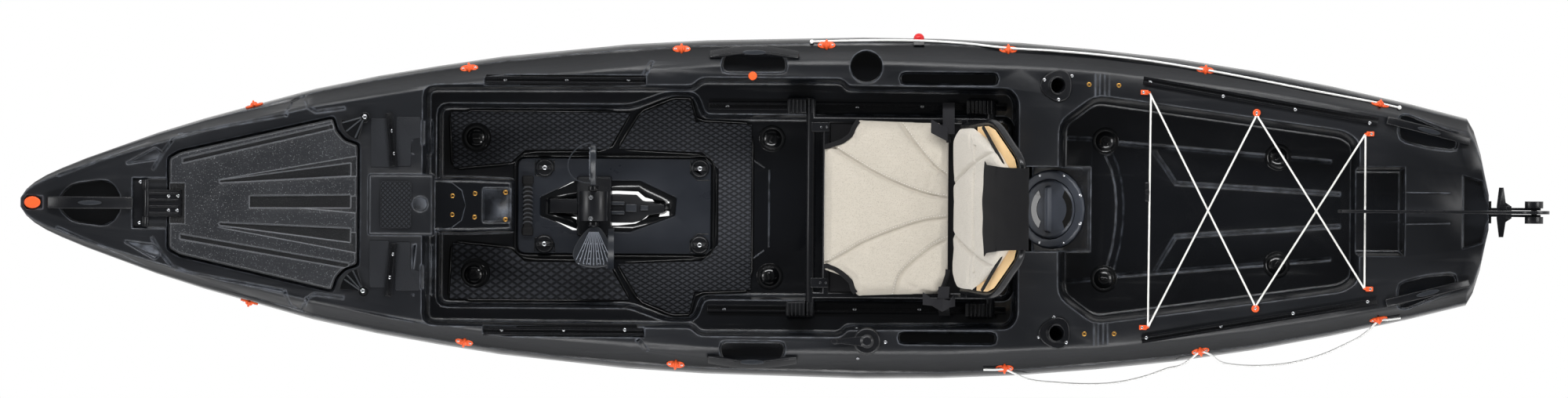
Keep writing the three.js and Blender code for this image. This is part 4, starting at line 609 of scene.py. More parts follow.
class Tree:
    """One material's nodes, added and joined in few words."""

    def __init__(self, name: str, world: bpy.types.World | None = None) -> None:
        """Starts a new material's nodes, or a world's.

        Args:
            name: the material's name.
            world: the world, where it is one.
        """
        self.material = world or bpy.data.materials.new(name)
        self.material.use_nodes = True
        self.nodes = self.material.node_tree.nodes
        self.links = self.material.node_tree.links
        self.shader = self.nodes["Background" if world else "Principled BSDF"]

    def feed(self, socket: Socket, value: Value) -> None:
        """Sets a socket, or links it when the value is another socket.

        Args:
            socket: the socket.
            value: its value or what feeds it.
        """
        if isinstance(value, Socket):
            self.links.new(value, socket)
        else:
            socket.default_value = value

    def add(self, kind: str, inputs: dict | None = None, **settings) -> bpy.types.Node:
        """Adds a node.

        Args:
            kind: its type without the common start of the name.
            inputs: values or links by input name or number.
            settings: its properties.
        Returns:
            the node.
        """
        node = self.nodes.new("ShaderNode" + kind)
        for key, value in settings.items():
            setattr(node, key, value)
        for key, value in (inputs or {}).items():
            self.feed(node.inputs[key], value)
        return node

    def place(self, scale: tuple = (1, 1, 1), turn: tuple = (0, 0, 0)) -> Socket:
        """The object's own coordinates, stretched and turned."""
        where = self.add("TexCoord").outputs["Object"]
        return self.add("Mapping", {"Vector": where, "Scale": scale, "Rotation": turn}).outputs[0]

    def noise(self, where: Socket, scale: float, detail: float = 3.0) -> Socket:
        """Cloudy noise from 0 to 1."""
        return self.add("TexNoise", {"Vector": where, "Scale": scale, "Detail": detail}).outputs[0]

    def cells(self, where: Socket, scale: float, feature: str = "F1") -> Socket:
        """A pattern of cells, by the distance to each cell's middle."""
        return self.add("TexVoronoi", {"Vector": where, "Scale": scale}, feature=feature).outputs[0]

    def ramp(self, value: Socket, low: float, high: float, start: float = 0.0,
             end: float = 1.0) -> Socket:
        """Maps a span of a value onto another span and holds it there."""
        return self.add("MapRange", {0: value, 1: low, 2: high, 3: start, 4: end}).outputs[0]

    def calc(self, what: str, first: Value, second: Value = 0.0) -> Socket:
        """One step of arithmetic."""
        return self.add("Math", {0: first, 1: second}, operation=what).outputs[0]

    def times(self, first: Value, second: Value) -> Socket:
        """The product of two values."""
        return self.calc("MULTIPLY", first, second)

    def waves(self, turns: tuple, pitch: float, join: str) -> Socket:
        """Ribs of one pitch in several directions, joined into one pattern by a step of arithmetic.

        Args:
            turns: the turn of the coordinates for each direction.
            pitch: metres from rib to rib.
            join: the step's name.
        Returns:
            the pattern, from -1 to 1.
        """
        pattern = None
        for turn in turns:
            flat = self.add("SeparateXYZ", {0: self.place((1, 1, 1), turn)}).outputs[0]
            wave = self.calc("SINE", self.times(flat, 2 * math.pi / pitch))
            pattern = wave if pattern is None else self.calc(join, pattern, wave)
        return pattern

    def blend(self, share: Value, first: Value, second: Value) -> Socket:
        """A mix of two colours."""
        node = self.add("Mix", data_type="RGBA")
        for socket, value in ((0, share), (6, first), (7, second)):
            self.feed(node.inputs[socket], value)
        return node.outputs[2]

    def bump(self, height: Socket, depth: float, normal: Socket | None = None) -> Socket:
        """Relief of a real depth in metres, on top of another relief where one is given.

        Args:
            height: the pattern.
            depth: its depth.
            normal: the other relief.
        Returns:
            the direction to link on.
        """
        node = self.add("Bump", {"Strength": 1.0, "Distance": depth, "Height": height})
        if normal is not None:
            self.feed(node.inputs["Normal"], normal)
        return node.outputs[0]

    def edges(self, radius: float) -> tuple[Socket, Socket]:
        """Rounded edges in the shading, and how near an edge is, for its wear and for painted highlights
        along it.

        Args:
            radius: the rounding.
        Returns:
            the direction to link on, and the nearness from 0 to 1.
        """
        normal = self.add("Bevel", {"Radius": radius}, samples=4).outputs[0]
        flat = self.add("NewGeometry").outputs["Normal"]
        dot = self.add("VectorMath", {0: normal, 1: flat}, operation="DOT_PRODUCT").outputs["Value"]
        return normal, self.ramp(dot, 0.995, 0.86)

    def output(self, name: str, share: Socket, first: bpy.types.Node,
               second: bpy.types.Node) -> None:
        """Leads a mix of two shaders to the output node."""
        mix = self.add("MixShader", {0: share, 1: first.outputs[0], 2: second.outputs[0]})
        self.feed(self.nodes[name].inputs[0], mix.outputs[0])

    def finish(self, colour: Value, roughness: Value, normal: Socket | None = None,
               **sockets) -> bpy.types.Material:
        """Sets the shader's sockets and gives back the material.

        Args:
            colour: a colour or a link.
            roughness: a number or a link.
            normal: the relief.
            sockets: other sockets by name, with _ for a space.
        Returns:
            the material.
        """
        self.feed(self.shader.inputs["Base Color"], colour)
        self.feed(self.shader.inputs["Roughness"], roughness)
        if normal is not None:
            self.feed(self.shader.inputs["Normal"], normal)
        for key, value in sockets.items():
            self.feed(self.shader.inputs[key.replace("_", " ")], value)
        return self.material


@dataclass(frozen=True)
class MouldedPlastic:
    """Moulded plastic or rubber with a fine grain, faint clouds and pale edges that are partly wear and
    partly painted highlight.
    """

    name: str
    colour: tuple
    roughness: float = 0.45
    grain: float = 0.0014
    depth: float = 0.00010
    edge: float = 0.0016
    # share of the pale edge colour: partly wear, partly painted highlight
    worn: float = 0.35
    specular: float = 0.22

    def make(self) -> bpy.types.Material:
        """Builds the material."""
        tree = Tree(self.name)
        where = tree.place()
        normal, near = tree.edges(self.edge)
        cloud = tree.noise(where, 7.0, 4.0)
        light = shade(self.colour, 1.7, 0.004)
        pale = shade(self.colour, 2.4, 0.02)
        colour = tree.blend(tree.ramp(cloud, 0.35, 0.75, 0.0, 0.55), self.colour, light)
        # Pale edges, broken by noise: partly wear, partly a painted highlight along every edge, convex or
        # hollow.
        edge_wear_and_highlight = tree.times(near, tree.ramp(tree.noise(where, 60.0), 0.42, 0.62, 0.0, self.worn))
        colour = tree.blend(edge_wear_and_highlight, colour, pale)
        scuff = tree.ramp(tree.noise(tree.place((4.0, 60.0, 40.0)), 1.0, 5.0), 0.62, 0.72)
        rough = tree.calc("ADD", tree.ramp(cloud, 0.3, 0.7, self.roughness - 0.05, self.roughness + 0.06),
                          tree.times(scuff, 0.12))
        pebble = tree.cells(where, 1.0 / self.grain, "SMOOTH_F1")
        normal = tree.bump(pebble, self.depth, normal)
        return tree.finish(colour, rough, normal, Specular_IOR_Level=self.specular)


@dataclass(frozen=True)
class HullPlastic:
    """Rotomoulded hull plastic: grained and dull on deck, smoother and glossier down in the wells, which are
    painted darker as painted shade, with painted highlights along its edges.
    """

    name: str = "rotomoulded hull"
    colour: tuple = paint(17, 19, 23)
    # heights of the wells and the deck: they set the roughness and the wells' painted shade
    deck: float = 0.325
    well: float = 0.285

    def make(self) -> bpy.types.Material:
        """Builds the material."""
        tree = Tree(self.name)
        where = tree.place()
        normal, near = tree.edges(0.007)
        height = tree.add("SeparateXYZ", {0: where}).outputs[2]
        # 0 down in the wells, 1 on deck: sets the roughness, and the wells' painted shade below
        dull = tree.ramp(height, self.well, self.deck)
        cloud = tree.noise(where, 5.0, 5.0)
        colour = tree.blend(tree.ramp(cloud, 0.3, 0.75, 0.0, 0.6), self.colour, paint(24, 26, 31))
        # Painted shade: the colour darkens towards the bottom of the wells.
        colour = tree.blend(tree.times(tree.calc("SUBTRACT", 1.0, dull), 0.5), colour,
                            paint(8, 9, 11))
        # Painted highlight: pale lines along the edges, broken by noise like wear.
        edge_wear_and_highlight = tree.times(near, tree.ramp(tree.noise(where, 35.0), 0.36, 0.62, 0.12, 0.7))
        colour = tree.blend(edge_wear_and_highlight, colour, paint(122, 128, 139))
        scuff = tree.ramp(tree.noise(tree.place((3.0, 45.0, 30.0)), 1.0, 6.0), 0.6, 0.72)
        rough = tree.ramp(dull, 0.0, 1.0, 0.17, 0.36)
        rough = tree.calc("ADD", rough, tree.times(scuff, 0.10))
        rough = tree.calc("ADD", rough, tree.ramp(cloud, 0.3, 0.7, -0.03, 0.04))
        grain = tree.cells(where, 620.0, "SMOOTH_F1")
        normal = tree.bump(grain, 0.00012, normal)
        normal = tree.bump(tree.noise(where, 14.0, 2.0), 0.0022, normal)
        return tree.finish(colour, rough, normal, Specular_IOR_Level=0.5)


@dataclass(frozen=True)
class SpeckledPlastic:
    """Hatch lid plastic: pebbled, with pale flecks in dark grey, painted shade in its channels and painted
    highlights along its edges.
    """

    name: str = "speckled lid"
    colour: tuple = paint(27, 29, 33)
    # the lid's top height and its slope, which place the painted shade in the channels
    top: float = 0.314255
    fall: float = 0.042752

    def make(self) -> bpy.types.Material:
        """Builds the material."""
        tree = Tree(self.name)
        where = tree.place()
        normal, near = tree.edges(0.004)
        fleck = tree.ramp(tree.cells(where, 330.0), 0.30, 0.12)
        chance = tree.ramp(tree.noise(where, 260.0, 2.0), 0.48, 0.60)
        cloud = tree.ramp(tree.noise(where, 9.0, 4.0), 0.3, 0.7, 0.0, 0.4)
        colour = tree.blend(cloud, self.colour, paint(50, 52, 56))
        colour = tree.blend(tree.times(fleck, tree.times(chance, 0.8)), colour,
                            paint(176, 178, 181))
        # Painted shade: the channels' floors, below the lid's sloping top, are painted near black.
        split = tree.add("SeparateXYZ", {0: where}).outputs
        level = tree.calc("ADD", split[2], tree.times(split[0], self.fall))
        painted_channel_shade = tree.ramp(level, self.top - 0.0042, self.top - 0.0012, 0.85, 0.0)
        colour = tree.blend(painted_channel_shade, colour, paint(7, 8, 10))
        # Painted highlight: pale lines along every edge.
        colour = tree.blend(tree.times(near, 0.75), colour, paint(138, 141, 147))
        pebble = tree.cells(where, 300.0, "SMOOTH_F1")
        normal = tree.bump(pebble, 0.0007, normal)
        return tree.finish(colour, tree.ramp(pebble, 0.1, 0.8, 0.3, 0.5), normal, Specular_IOR_Level=0.5)


@dataclass(frozen=True)
class FoamMat:
    """Deck foam with crossing grooves that cut it into long diamonds; the grooves are painted darker as
    painted shade, and its edges lighter as painted highlight.
    """

    name: str
    colour: tuple
    pitch: float = 0.0125
    lean: float = 0.52
    groove: float = 0.11

    def make(self) -> bpy.types.Material:
        """Builds the material."""
        tree = Tree(self.name)
        where = tree.place()
        normal, near = tree.edges(0.002)
        lines = None
        for turn in (self.lean, -self.lean):
            flat = tree.add("SeparateXYZ", {0: tree.place((1, 1, 1), (0, 0, turn))}).outputs[1]
            step = tree.calc("FRACT", tree.times(flat, 1.0 / self.pitch))
            off = tree.calc("ABSOLUTE", tree.calc("SUBTRACT", step, 0.5))
            line = tree.ramp(off, self.groove, self.groove * 2.2)
            lines = line if lines is None else tree.calc("MINIMUM", lines, line)
        cloud = tree.ramp(tree.noise(where, 12.0, 4.0), 0.3, 0.7, 0.0, 0.5)
        top = tree.blend(cloud, self.colour, shade(self.colour, 1.5))
        # Painted shade: the grooves are painted far darker than the foam's top.
        colour = tree.blend(lines, shade(self.colour, 0.35), top)
        # Painted highlight: pale lines along the edges.
        colour = tree.blend(tree.times(near, 0.3), colour, paint(92, 93, 96))
        pores = tree.cells(where, 1500.0)
        normal = tree.bump(pores, 0.00012, normal)
        normal = tree.bump(lines, 0.0016, normal)
        return tree.finish(colour, 0.72, normal, Specular_IOR_Level=0.16)


@dataclass(frozen=True)
class MeshCloth:
    """Padded spacer mesh: a knit face of small holes over a paler backing, each hole painted darker as
    painted shade.
    """

    name: str
    colour: tuple
    cell: float = 0.0030

    def make(self) -> bpy.types.Material:
        """Builds the material."""
        tree = Tree(self.name)
        where = tree.place()
        hole = tree.ramp(tree.cells(where, 1.0 / self.cell), 0.34, 0.16)
        rows = tree.noise(tree.place((30.0, 260.0, 30.0)), 1.0, 2.0)
        cloud = tree.ramp(tree.noise(where, 10.0, 4.0), 0.3, 0.7, 0.0, 0.35)
        dark = shade(self.colour, 0.82)
        colour = tree.blend(cloud, self.colour, dark)
        # Painted shade: each hole of the knit is painted darker.
        colour = tree.blend(tree.times(hole, 0.42), colour, paint(118, 111, 100))
        colour = tree.blend(tree.ramp(rows, 0.55, 0.75, 0.0, 0.18), colour, paint(212, 207, 198))
        knit = tree.bump(tree.calc("SUBTRACT", 1.0, hole), 0.00045)
        normal = tree.bump(tree.noise(where, 55.0, 3.0), 0.0008, knit)
        return tree.finish(colour, 0.86, normal, Sheen_Weight=0.25, Sheen_Roughness=0.5,
                           Specular_IOR_Level=0.2)


@dataclass(frozen=True)
class WovenCloth:
    """Webbing, binding and cover cloth: a plain weave with ribs across it."""

    name: str
    colour: tuple
    rib: float = 0.0016
    sheen: float = 0.35

    def make(self) -> bpy.types.Material:
        """Builds the material."""
        tree = Tree(self.name)
        where = tree.place()
        weave = tree.waves(((0, 0, 0.78), (0, 0, -0.78), (0.9, 0.4, 0)), self.rib, "MAXIMUM")
        light = shade(self.colour, 1.9, 0.006)
        colour = tree.blend(tree.ramp(weave, -0.2, 1.0), self.colour, light)
        fade = tree.ramp(tree.noise(where, 22.0, 4.0), 0.4, 0.75, 0.0, 0.4)
        colour = tree.blend(fade, colour, light)
        normal = tree.bump(weave, 0.00022)
        normal = tree.bump(tree.noise(where, 90.0, 2.0), 0.0005, normal)
        return tree.finish(colour, 0.8, normal, Sheen_Weight=self.sheen, Specular_IOR_Level=0.15)


@dataclass(frozen=True)
class Braid:
    """Braided cord: strands that cross over each other round it."""

    name: str
    colour: tuple
    fleck: tuple
    pitch: float = 0.0042

    def make(self) -> bpy.types.Material:
        """Builds the material."""
        tree = Tree(self.name)
        where = tree.place()
        cross = tree.waves(((0, 0, 0.6), (0, 0, -0.6)), self.pitch, "MULTIPLY")
        colour = tree.blend(tree.ramp(cross, -0.9, -0.3, 0.45, 0.0), self.colour, self.fleck)
        dirt = tree.ramp(tree.noise(where, 30.0, 3.0), 0.5, 0.8, 0.0, 0.3)
        colour = tree.blend(dirt, colour, self.fleck)
        return tree.finish(colour, 0.75, tree.bump(cross, 0.0003), Specular_IOR_Level=0.25)


@dataclass(frozen=True)
class Metal:
    """Turned, drawn or anodised metal with fine tool marks, faint stains and a painted highlight along its
    edges.
    """

    name: str
    colour: tuple
    roughness: float = 0.3
    metallic: float = 1.0
    specular: float = 0.5

    def make(self) -> bpy.types.Material:
        """Builds the material."""
        tree = Tree(self.name)
        where = tree.place()
        normal, near = tree.edges(0.0008)
        marks = tree.noise(tree.place((900.0, 900.0, 40.0)), 1.0, 2.0)
        stain = tree.ramp(tree.noise(where, 45.0, 4.0), 0.35, 0.75, 0.0, 0.5)
        dull = shade(self.colour, 0.55)
        colour = tree.blend(stain, self.colour, dull)
        # Painted highlight: a lighter shade along every edge.
        colour = tree.blend(tree.times(near, 0.4), colour,
                            shade(self.colour, 1.5, 0.05))
        rough = tree.ramp(marks, 0.3, 0.7, self.roughness - 0.06, self.roughness + 0.1)
        normal = tree.bump(marks, 0.00002, normal)
        return tree.finish(colour, rough, normal, Metallic=self.metallic, Specular_IOR_Level=self.specular)


class Finish(Enum):
    """Every finish on the boat; the value builds it."""

    HULL = HullPlastic()
    BLACK = MouldedPlastic("black plastic", paint(17, 18, 21), 0.26, specular=0.45)
    GLOSS = MouldedPlastic("glossy black plastic", paint(9, 10, 12), 0.10, depth=0.00003, specular=0.6)
    GREY = MouldedPlastic("grey plastic", paint(36, 39, 44), 0.34, specular=0.5)
    SILVER = MouldedPlastic("silvery plastic", paint(120, 125, 134), 0.35, specular=0.5)
    HATCH = MouldedPlastic("hatch plate", paint(50, 54, 62), 0.36, specular=0.4)
    DRIVE = MouldedPlastic("drive plate", paint(30, 33, 39), 0.3, specular=0.5)
    PANEL = MouldedPlastic("textured panel", paint(24, 26, 30), 0.62, grain=0.003, depth=0.0005)
    RUBBER = MouldedPlastic("black rubber", paint(17, 17, 18), 0.6, specular=0.16)
    ORANGE = MouldedPlastic("orange plastic", paint(238, 88, 38), 0.38, worn=0.15, specular=0.35)
    RED = MouldedPlastic("red plastic", paint(205, 28, 30), 0.3, worn=0.1, specular=0.4)
    LID = SpeckledPlastic()
    MAT = FoamMat("foam mat", paint(58, 60, 65))
    MAT_LARGE = FoamMat("foam mat with large diamonds", paint(56, 58, 63), 0.017, 0.60)
    PAD = FoamMat("console pad", paint(34, 36, 40), 0.009, 0.785, 0.08)
    BEIGE = MeshCloth("beige spacer mesh", paint(190, 183, 171))
    BACK = MeshCloth("cream spacer mesh", paint(200, 194, 184), 0.0034)
    FABRIC = WovenCloth("black fabric", paint(6, 6, 8), sheen=0.02)
    BINDING = WovenCloth("black binding", paint(12, 12, 14), 0.0011, 0.05)
    STRAP = WovenCloth("black webbing", paint(20, 20, 23), 0.0022, 0.12)
    TAN = WovenCloth("tan lining", paint(196, 160, 112), 0.0013)
    THREAD = WovenCloth("pale thread", paint(232, 228, 220), 0.0009)
    ROPE = Braid("white rope", paint(250, 250, 248), paint(205, 205, 206))
    BUNGEE = Braid("bungee cord", paint(250, 249, 245), paint(196, 194, 190), 0.0034)
    ANODISED = Metal("black anodised metal", paint(22, 23, 26), 0.22, 0.35, 0.5)
    STEEL = Metal("stainless steel", paint(188, 190, 194), 0.24)
    BRASS = Metal("brass", paint(206, 158, 84), 0.28)

    @property
    def material(self) -> bpy.types.Material:
        """The material, built the first time that it is asked for."""
        made = bpy.data.materials.get(self.value.name)
        return made if made is not None else self.value.make()


@dataclass
class Maker:
    """What every sub-assembly class shares: the scale, the ground, and how a piece is handed over."""

    scale: PhotoScale
    ground: Ground

    def spot(self, column: float, row: float) -> tuple[float, float]:
        """The place on the boat under a pixel."""
        return self.scale.spot(column, row)

    def seats(self, pixels: tuple, *nodes: str, upright: bool = False) -> list:
        """A matrix on the surface under each of several pixels."""
        return [self.ground.seat(*self.spot(*pixel), *nodes, upright=upright) for pixel in pixels]

    def level(self, pixels: list, height: float) -> list:
        """The places under pixels at one height, turned the other way round for a plate."""
        return [(*self.spot(*pixel), height) for pixel in reversed(pixels)]

    def many(self, name: str, template: Piece, places: list, finish: Finish, body: str = "boat",
             slot: str = "black_plastic") -> Piece:
        """Copies of a template as one finished piece."""
        return self.group(name, Bench.copies(template, name, places), finish, body, slot)

    def each(self, name: str, template: Piece, places: list, finish: Finish, slot: str) -> None:
        """Copies of a template on the boat, every one a finished piece of its own."""
        for piece in Bench.copies(template, name, places):
            self.give(piece, finish, slot=slot)

    def group(self, name: str, pieces: list, finish: Finish, body: str = "boat",
              slot: str = "black_plastic") -> Piece:
        """Several pieces joined into one finished piece."""
        return self.give(Bench.joined(name, *pieces), finish, body, slot)

    def stand(self, piece: Piece, pixel: tuple, upright: bool = True) -> Piece:
        """Stands a piece on the hull under a pixel."""
        return Bench.settle(piece, self.ground.seat(*self.spot(*pixel), upright=upright))

    def give(self, piece: Piece, finish: Finish, body: str = "boat", slot: str = "black_plastic") -> Piece:
        """Finishes a piece and lets it ride on its body.

        Args:
            piece: the piece, in its place.
            finish: its finish.
            body: the body that carries it.
            slot: the record's material slot that it belongs to; not used.
        Returns:
            the piece.
        """
        piece.data.materials.clear()
        piece.data.materials.append(finish.material)
        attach(piece, body)
        LOG.info("%s rides on %s", piece.name, body)
        return piece

    def screws(self, name: str, places: list, radius: float, body: str = "boat") -> Piece:
        """Socket-head screws as one piece.

        Args:
            name: the piece's name.
            places: a matrix for each screw.
            radius: the head's radius.
            body: the body that carries them.
        Returns:
            the piece.
        """
        head = Bench.disc(name, radius, radius * 0.5, radius * 0.35, 20, radius * 0.3)
        Bench.edit(head)
        Bench.pick(head, lambda middle, normal: normal.z > 0.99 and math.hypot(middle.x, middle.y) < 1e-4)
        bpy.ops.mesh.inset(thickness=radius * 0.2)
        bpy.ops.mesh.extrude_region_move(TRANSFORM_OT_translate={"value": (0, 0, -radius * 0.35)})
        Bench.close(head, False)
        Bench.soften(head, 0, 1, 0.7)
        return self.many(name, head, places, Finish.STEEL, body, "anodised_aluminium")

    def dressed(self, node: str, finish: Finish, width: float = 0.0015, sharp: float = 0.6,
                steps: int = 2, cutters: tuple = ()) -> Piece:
        """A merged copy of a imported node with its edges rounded, which stands for the node.

        Args:
            node: the node's name.
            finish: the copy's finish.
            width: the edge rounding.
            sharp: the angle past which an edge is rounded.
            steps: faces across each rounding.
            cutters: pieces that are cut out of it first.
        Returns:
            the copy.
        """
        source = frame["nodes"][node]
        copy = Bench.hold(Bench.twin(source, f"{node}_dressed"))
        if copy.data.has_custom_normals:
            bpy.ops.mesh.customdata_custom_splitnormals_clear()
        Bench.edit(copy)
        bpy.ops.mesh.remove_doubles(threshold=2e-6)
        bpy.ops.mesh.dissolve_limited(angle_limit=0.02)
        Bench.close(copy, False)
        if cutters:
            Bench.carve(copy, list(cutters))
        Bench.soften(copy, width, steps, sharp)
        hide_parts(node)
        return self.give(copy, finish, source["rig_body"], NODE_SLOTS.get(node, "black_plastic"))

    def draped(self, line: tuple, lift: float = 0.0, nodes: tuple = ("hull",), step: float = 0.006) -> list:
        """A line of the photograph laid on the surface below it.

        Args:
            line: its pixels.
            lift: how far above the surface it lies.
            nodes: the nodes that carry it.
            step: the distance between two points of it.
        Returns:
            the points.
        """
        spots = [Vector((*self.spot(*pixel), 0)) for pixel in line]
        path = []
        for a, b in zip(spots, spots[1:]):
            count = max(1, round((b - a).length / step))
            path += [a.lerp(b, k / count) for k in range(count)]
        path.append(spots[-1])
        return [self.ground.hit(p.x, p.y, *nodes)[0] + UP * lift for p in path]

    def bead(self, name: str, line: tuple, radius: float, nodes: tuple = ("hull",),
             closed: bool = False) -> Piece:
        """A raised bead along a line of the photograph, sunk a little into what carries it.

        Args:
            name: the bead's name.
            line: its pixels.
            radius: its radius.
            nodes: what carries it.
            closed: joins its ends.
        Returns:
            the bead.
        """
        corners = (*line, line[0]) if closed else line
        path = self.draped(corners, radius * 0.25, nodes)
        return Bench.rod(name, path[:-1] if closed else path, radius, closed)

    def channel(self, name: str, line: tuple, width: float, depth: float) -> Piece:
        """A cutter for a channel of even width along a line of the photograph.

        Args:
            name: the cutter's name.
            line: its pixels.
            width: the channel's width.
            depth: its depth.
        Returns:
            the cutter.
        """
        path = self.draped(line, step=0.02)
        wide = []
        for k, point in enumerate(path):
            ahead, behind = path[min(k + 1, len(path) - 1)], path[max(k - 1, 0)]
            along = (ahead - behind).normalized()
            wide.append(Vector((along.y, -along.x, 0)).normalized() * width / 2)
        return Bench.ribbon(name, path, wide, 2 * depth)

    def recess(self, name: str, corners: tuple, depth: float, flare: float, round_by: float) -> Piece:
        """A cutter for a recess with rounded corners, given in pixels of the photograph."""
        spots = [self.spot(*pixel) for pixel in rounded_corners(corners, round_by)]
        return Bench.trough(name, [self.ground.hit(x, y)[0] for x, y in spots], depth, flare)


SLOT_NODES = {
    "orange_plastic": ("bow_drain_plug",),
    "speckled_plastic": ("bow_hatch_lid",),
    "dark_foam": ("console_pad", "forward_mat_port", "forward_mat_starboard", "rear_mat"),
    "anodised_aluminium": ("crank", "front_track_port", "front_track_starboard", "rear_track_port",
        "rear_track_starboard", "seat_back_frame", "seat_frame", "seat_track_port",
        "seat_track_starboard"),
    "black_rubber": ("drive_grip",),
    "hull_plastic": ("hull",),
    "black_fabric": ("lumbar_band",),
    "grey_plastic": ("pedal_port", "pedal_starboard"),
    "white_rope": ("port_rope", "starboard_rope", "tank_bungee"),
    "beige_mesh": ("seat_back_pad", "seat_cushion"),
}
NODE_SLOTS = {node: slot for slot, nodes in SLOT_NODES.items() for node in nodes}


@dataclass
class Studio:
    """The camera at the photograph's place, the floor, the lamps and the plain world."""

    camera_place: tuple = (-0.0029, 0.0227, 40.335)
    camera_turn: float = math.radians(0.398)
    lens: float = 341.0
    lamp_power: float = 105.0
    lamp_size: tuple = (5.0, 0.55)
    sky_light: float = 0.36
    sky_span: tuple = (0.22, 0.90, 1.1, 0.09)

    def camera(self) -> None:
        """Hangs the camera straight above the boat."""
        data = bpy.data.cameras.new("camera")
        data.sensor_width, data.lens, data.clip_end = 36.0, self.lens, 60.0
        eye = bpy.data.objects.new("camera", data)
        eye.location = self.camera_place
        eye.rotation_euler = (0, 0, self.camera_turn)
        bpy.context.collection.objects.link(eye)
        bpy.context.scene.camera = eye

    def floor(self) -> None:
        """Lays a pale floor that the camera and glossy rays see as plain white glow, so no shade shows on
        it.
        """
        Bench.clear()
        bpy.ops.mesh.primitive_plane_add(size=60, location=(0, 0, -0.002))
        floor = Bench.named("floor")
        Bench.settle(floor)
        tree = Tree("floor")
        speck = tree.ramp(tree.noise(tree.place(), 3.0), 0.3, 0.7, 0.0, 1.0)
        colour = tree.blend(speck, paint(246, 246, 246), paint(249, 249, 249))
        tree.finish(colour, 0.9, Specular_IOR_Level=0.1)
        glow = tree.add("Emission", {"Color": (1, 1, 1, 1), "Strength": 1.0})
        path = tree.add("LightPath")
        seen = tree.calc("MAXIMUM", path.outputs["Is Camera Ray"], path.outputs["Is Glossy Ray"])
        tree.output("Material Output", seen, tree.shader, glow)
        floor.data.materials.append(tree.material)

    def lamps(self) -> None:
        """Hangs a long soft lamp on each side and a small one over the bow and the stern."""
        for name, place, size, power in (
            ("lamp_starboard", (0, 2.3, 2.3), self.lamp_size, self.lamp_power),
            ("lamp_port", (0, -2.3, 2.3), self.lamp_size, self.lamp_power * 0.8),
            ("lamp_bow", (-4.2, 0.3, 2.6), (1.6, 1.6), self.lamp_power * 0.35),
            ("lamp_stern", (4.2, 0.4, 2.6), (1.6, 1.6), self.lamp_power * 0.35),
        ):
            data = bpy.data.lights.new(name, "AREA")
            data.shape, data.energy = "RECTANGLE", power
            data.size, data.size_y = size
            lamp = bpy.data.objects.new(name, data)
            lamp.location = place
            aim = Vector((place[0] * 0.15, 0, 0.2)) - Vector(place)
            lamp.rotation_euler = aim.to_track_quat("-Z", "X" if abs(place[0]) > 1 else "Y").to_euler()
            bpy.context.collection.objects.link(lamp)

    def world(self) -> None:
        """Gives a plain world, white where it is seen, whose reflection darkens towards straight up."""
        world = bpy.context.scene.world = bpy.data.worlds.new("plain")
        tree = Tree("plain", world)
        tree.feed(tree.shader.inputs[0], (1, 1, 1, 1))
        tree.feed(tree.shader.inputs[1], self.sky_light)
        path = tree.add("LightPath").outputs
        way = tree.add("SeparateXYZ", {0: tree.add("TexCoord").outputs["Generated"]}).outputs[2]
        mirrored = tree.ramp(tree.calc("ABSOLUTE", way), *self.sky_span)
        seen = tree.add("Background", {1: tree.calc("MAXIMUM", path["Is Camera Ray"], mirrored)})
        plain = tree.calc("MAXIMUM", path["Is Camera Ray"], path["Is Glossy Ray"])
        tree.output("World Output", plain, tree.shader, seen)

    def build(self) -> None:
        """Sets up the whole studio."""
        self.camera()
        self.floor()
        self.lamps()
        self.world()
        bpy.context.scene.view_settings.view_transform = "Standard"


def eased(points: list, steps: int = 6) -> list:
    """A smooth path through given points, evenly divided between each two (centripetal).

    Args:
        points: the points that it passes.
        steps: how many parts each stretch gets.
    Returns:
        the finer list of points.
    """
    knots = [Vector(p) for p in points]
    knots = [knots[0] * 2 - knots[1], *knots, knots[-1] * 2 - knots[-2]]
    path = []
    for a, b, c, d in zip(knots, knots[1:], knots[2:], knots[3:]):
        t1 = max((b - a).length, 1e-9) ** 0.5
        t2 = t1 + max((c - b).length, 1e-9) ** 0.5
        t3 = t2 + max((d - c).length, 1e-9) ** 0.5
        for k in range(steps):
            t = t1 + (t2 - t1) * k / steps
            ab, bc, cd = a.lerp(b, t / t1), b.lerp(c, (t - t1) / (t2 - t1)), c.lerp(d, (t - t2) / (t3 - t2))
            abc, bcd = ab.lerp(bc, t / t2), bc.lerp(cd, (t - t1) / (t3 - t1))
            path.append(abc.lerp(bcd, (t - t1) / (t2 - t1)))
    return [*path, knots[-2]]


def length_of(path: list) -> float:
    """The length of a path through its points.

    Args:
        path: the points.
    Returns:
        metres.
    """
    return sum((Vector(b) - Vector(a)).length for a, b in zip(path, path[1:]))


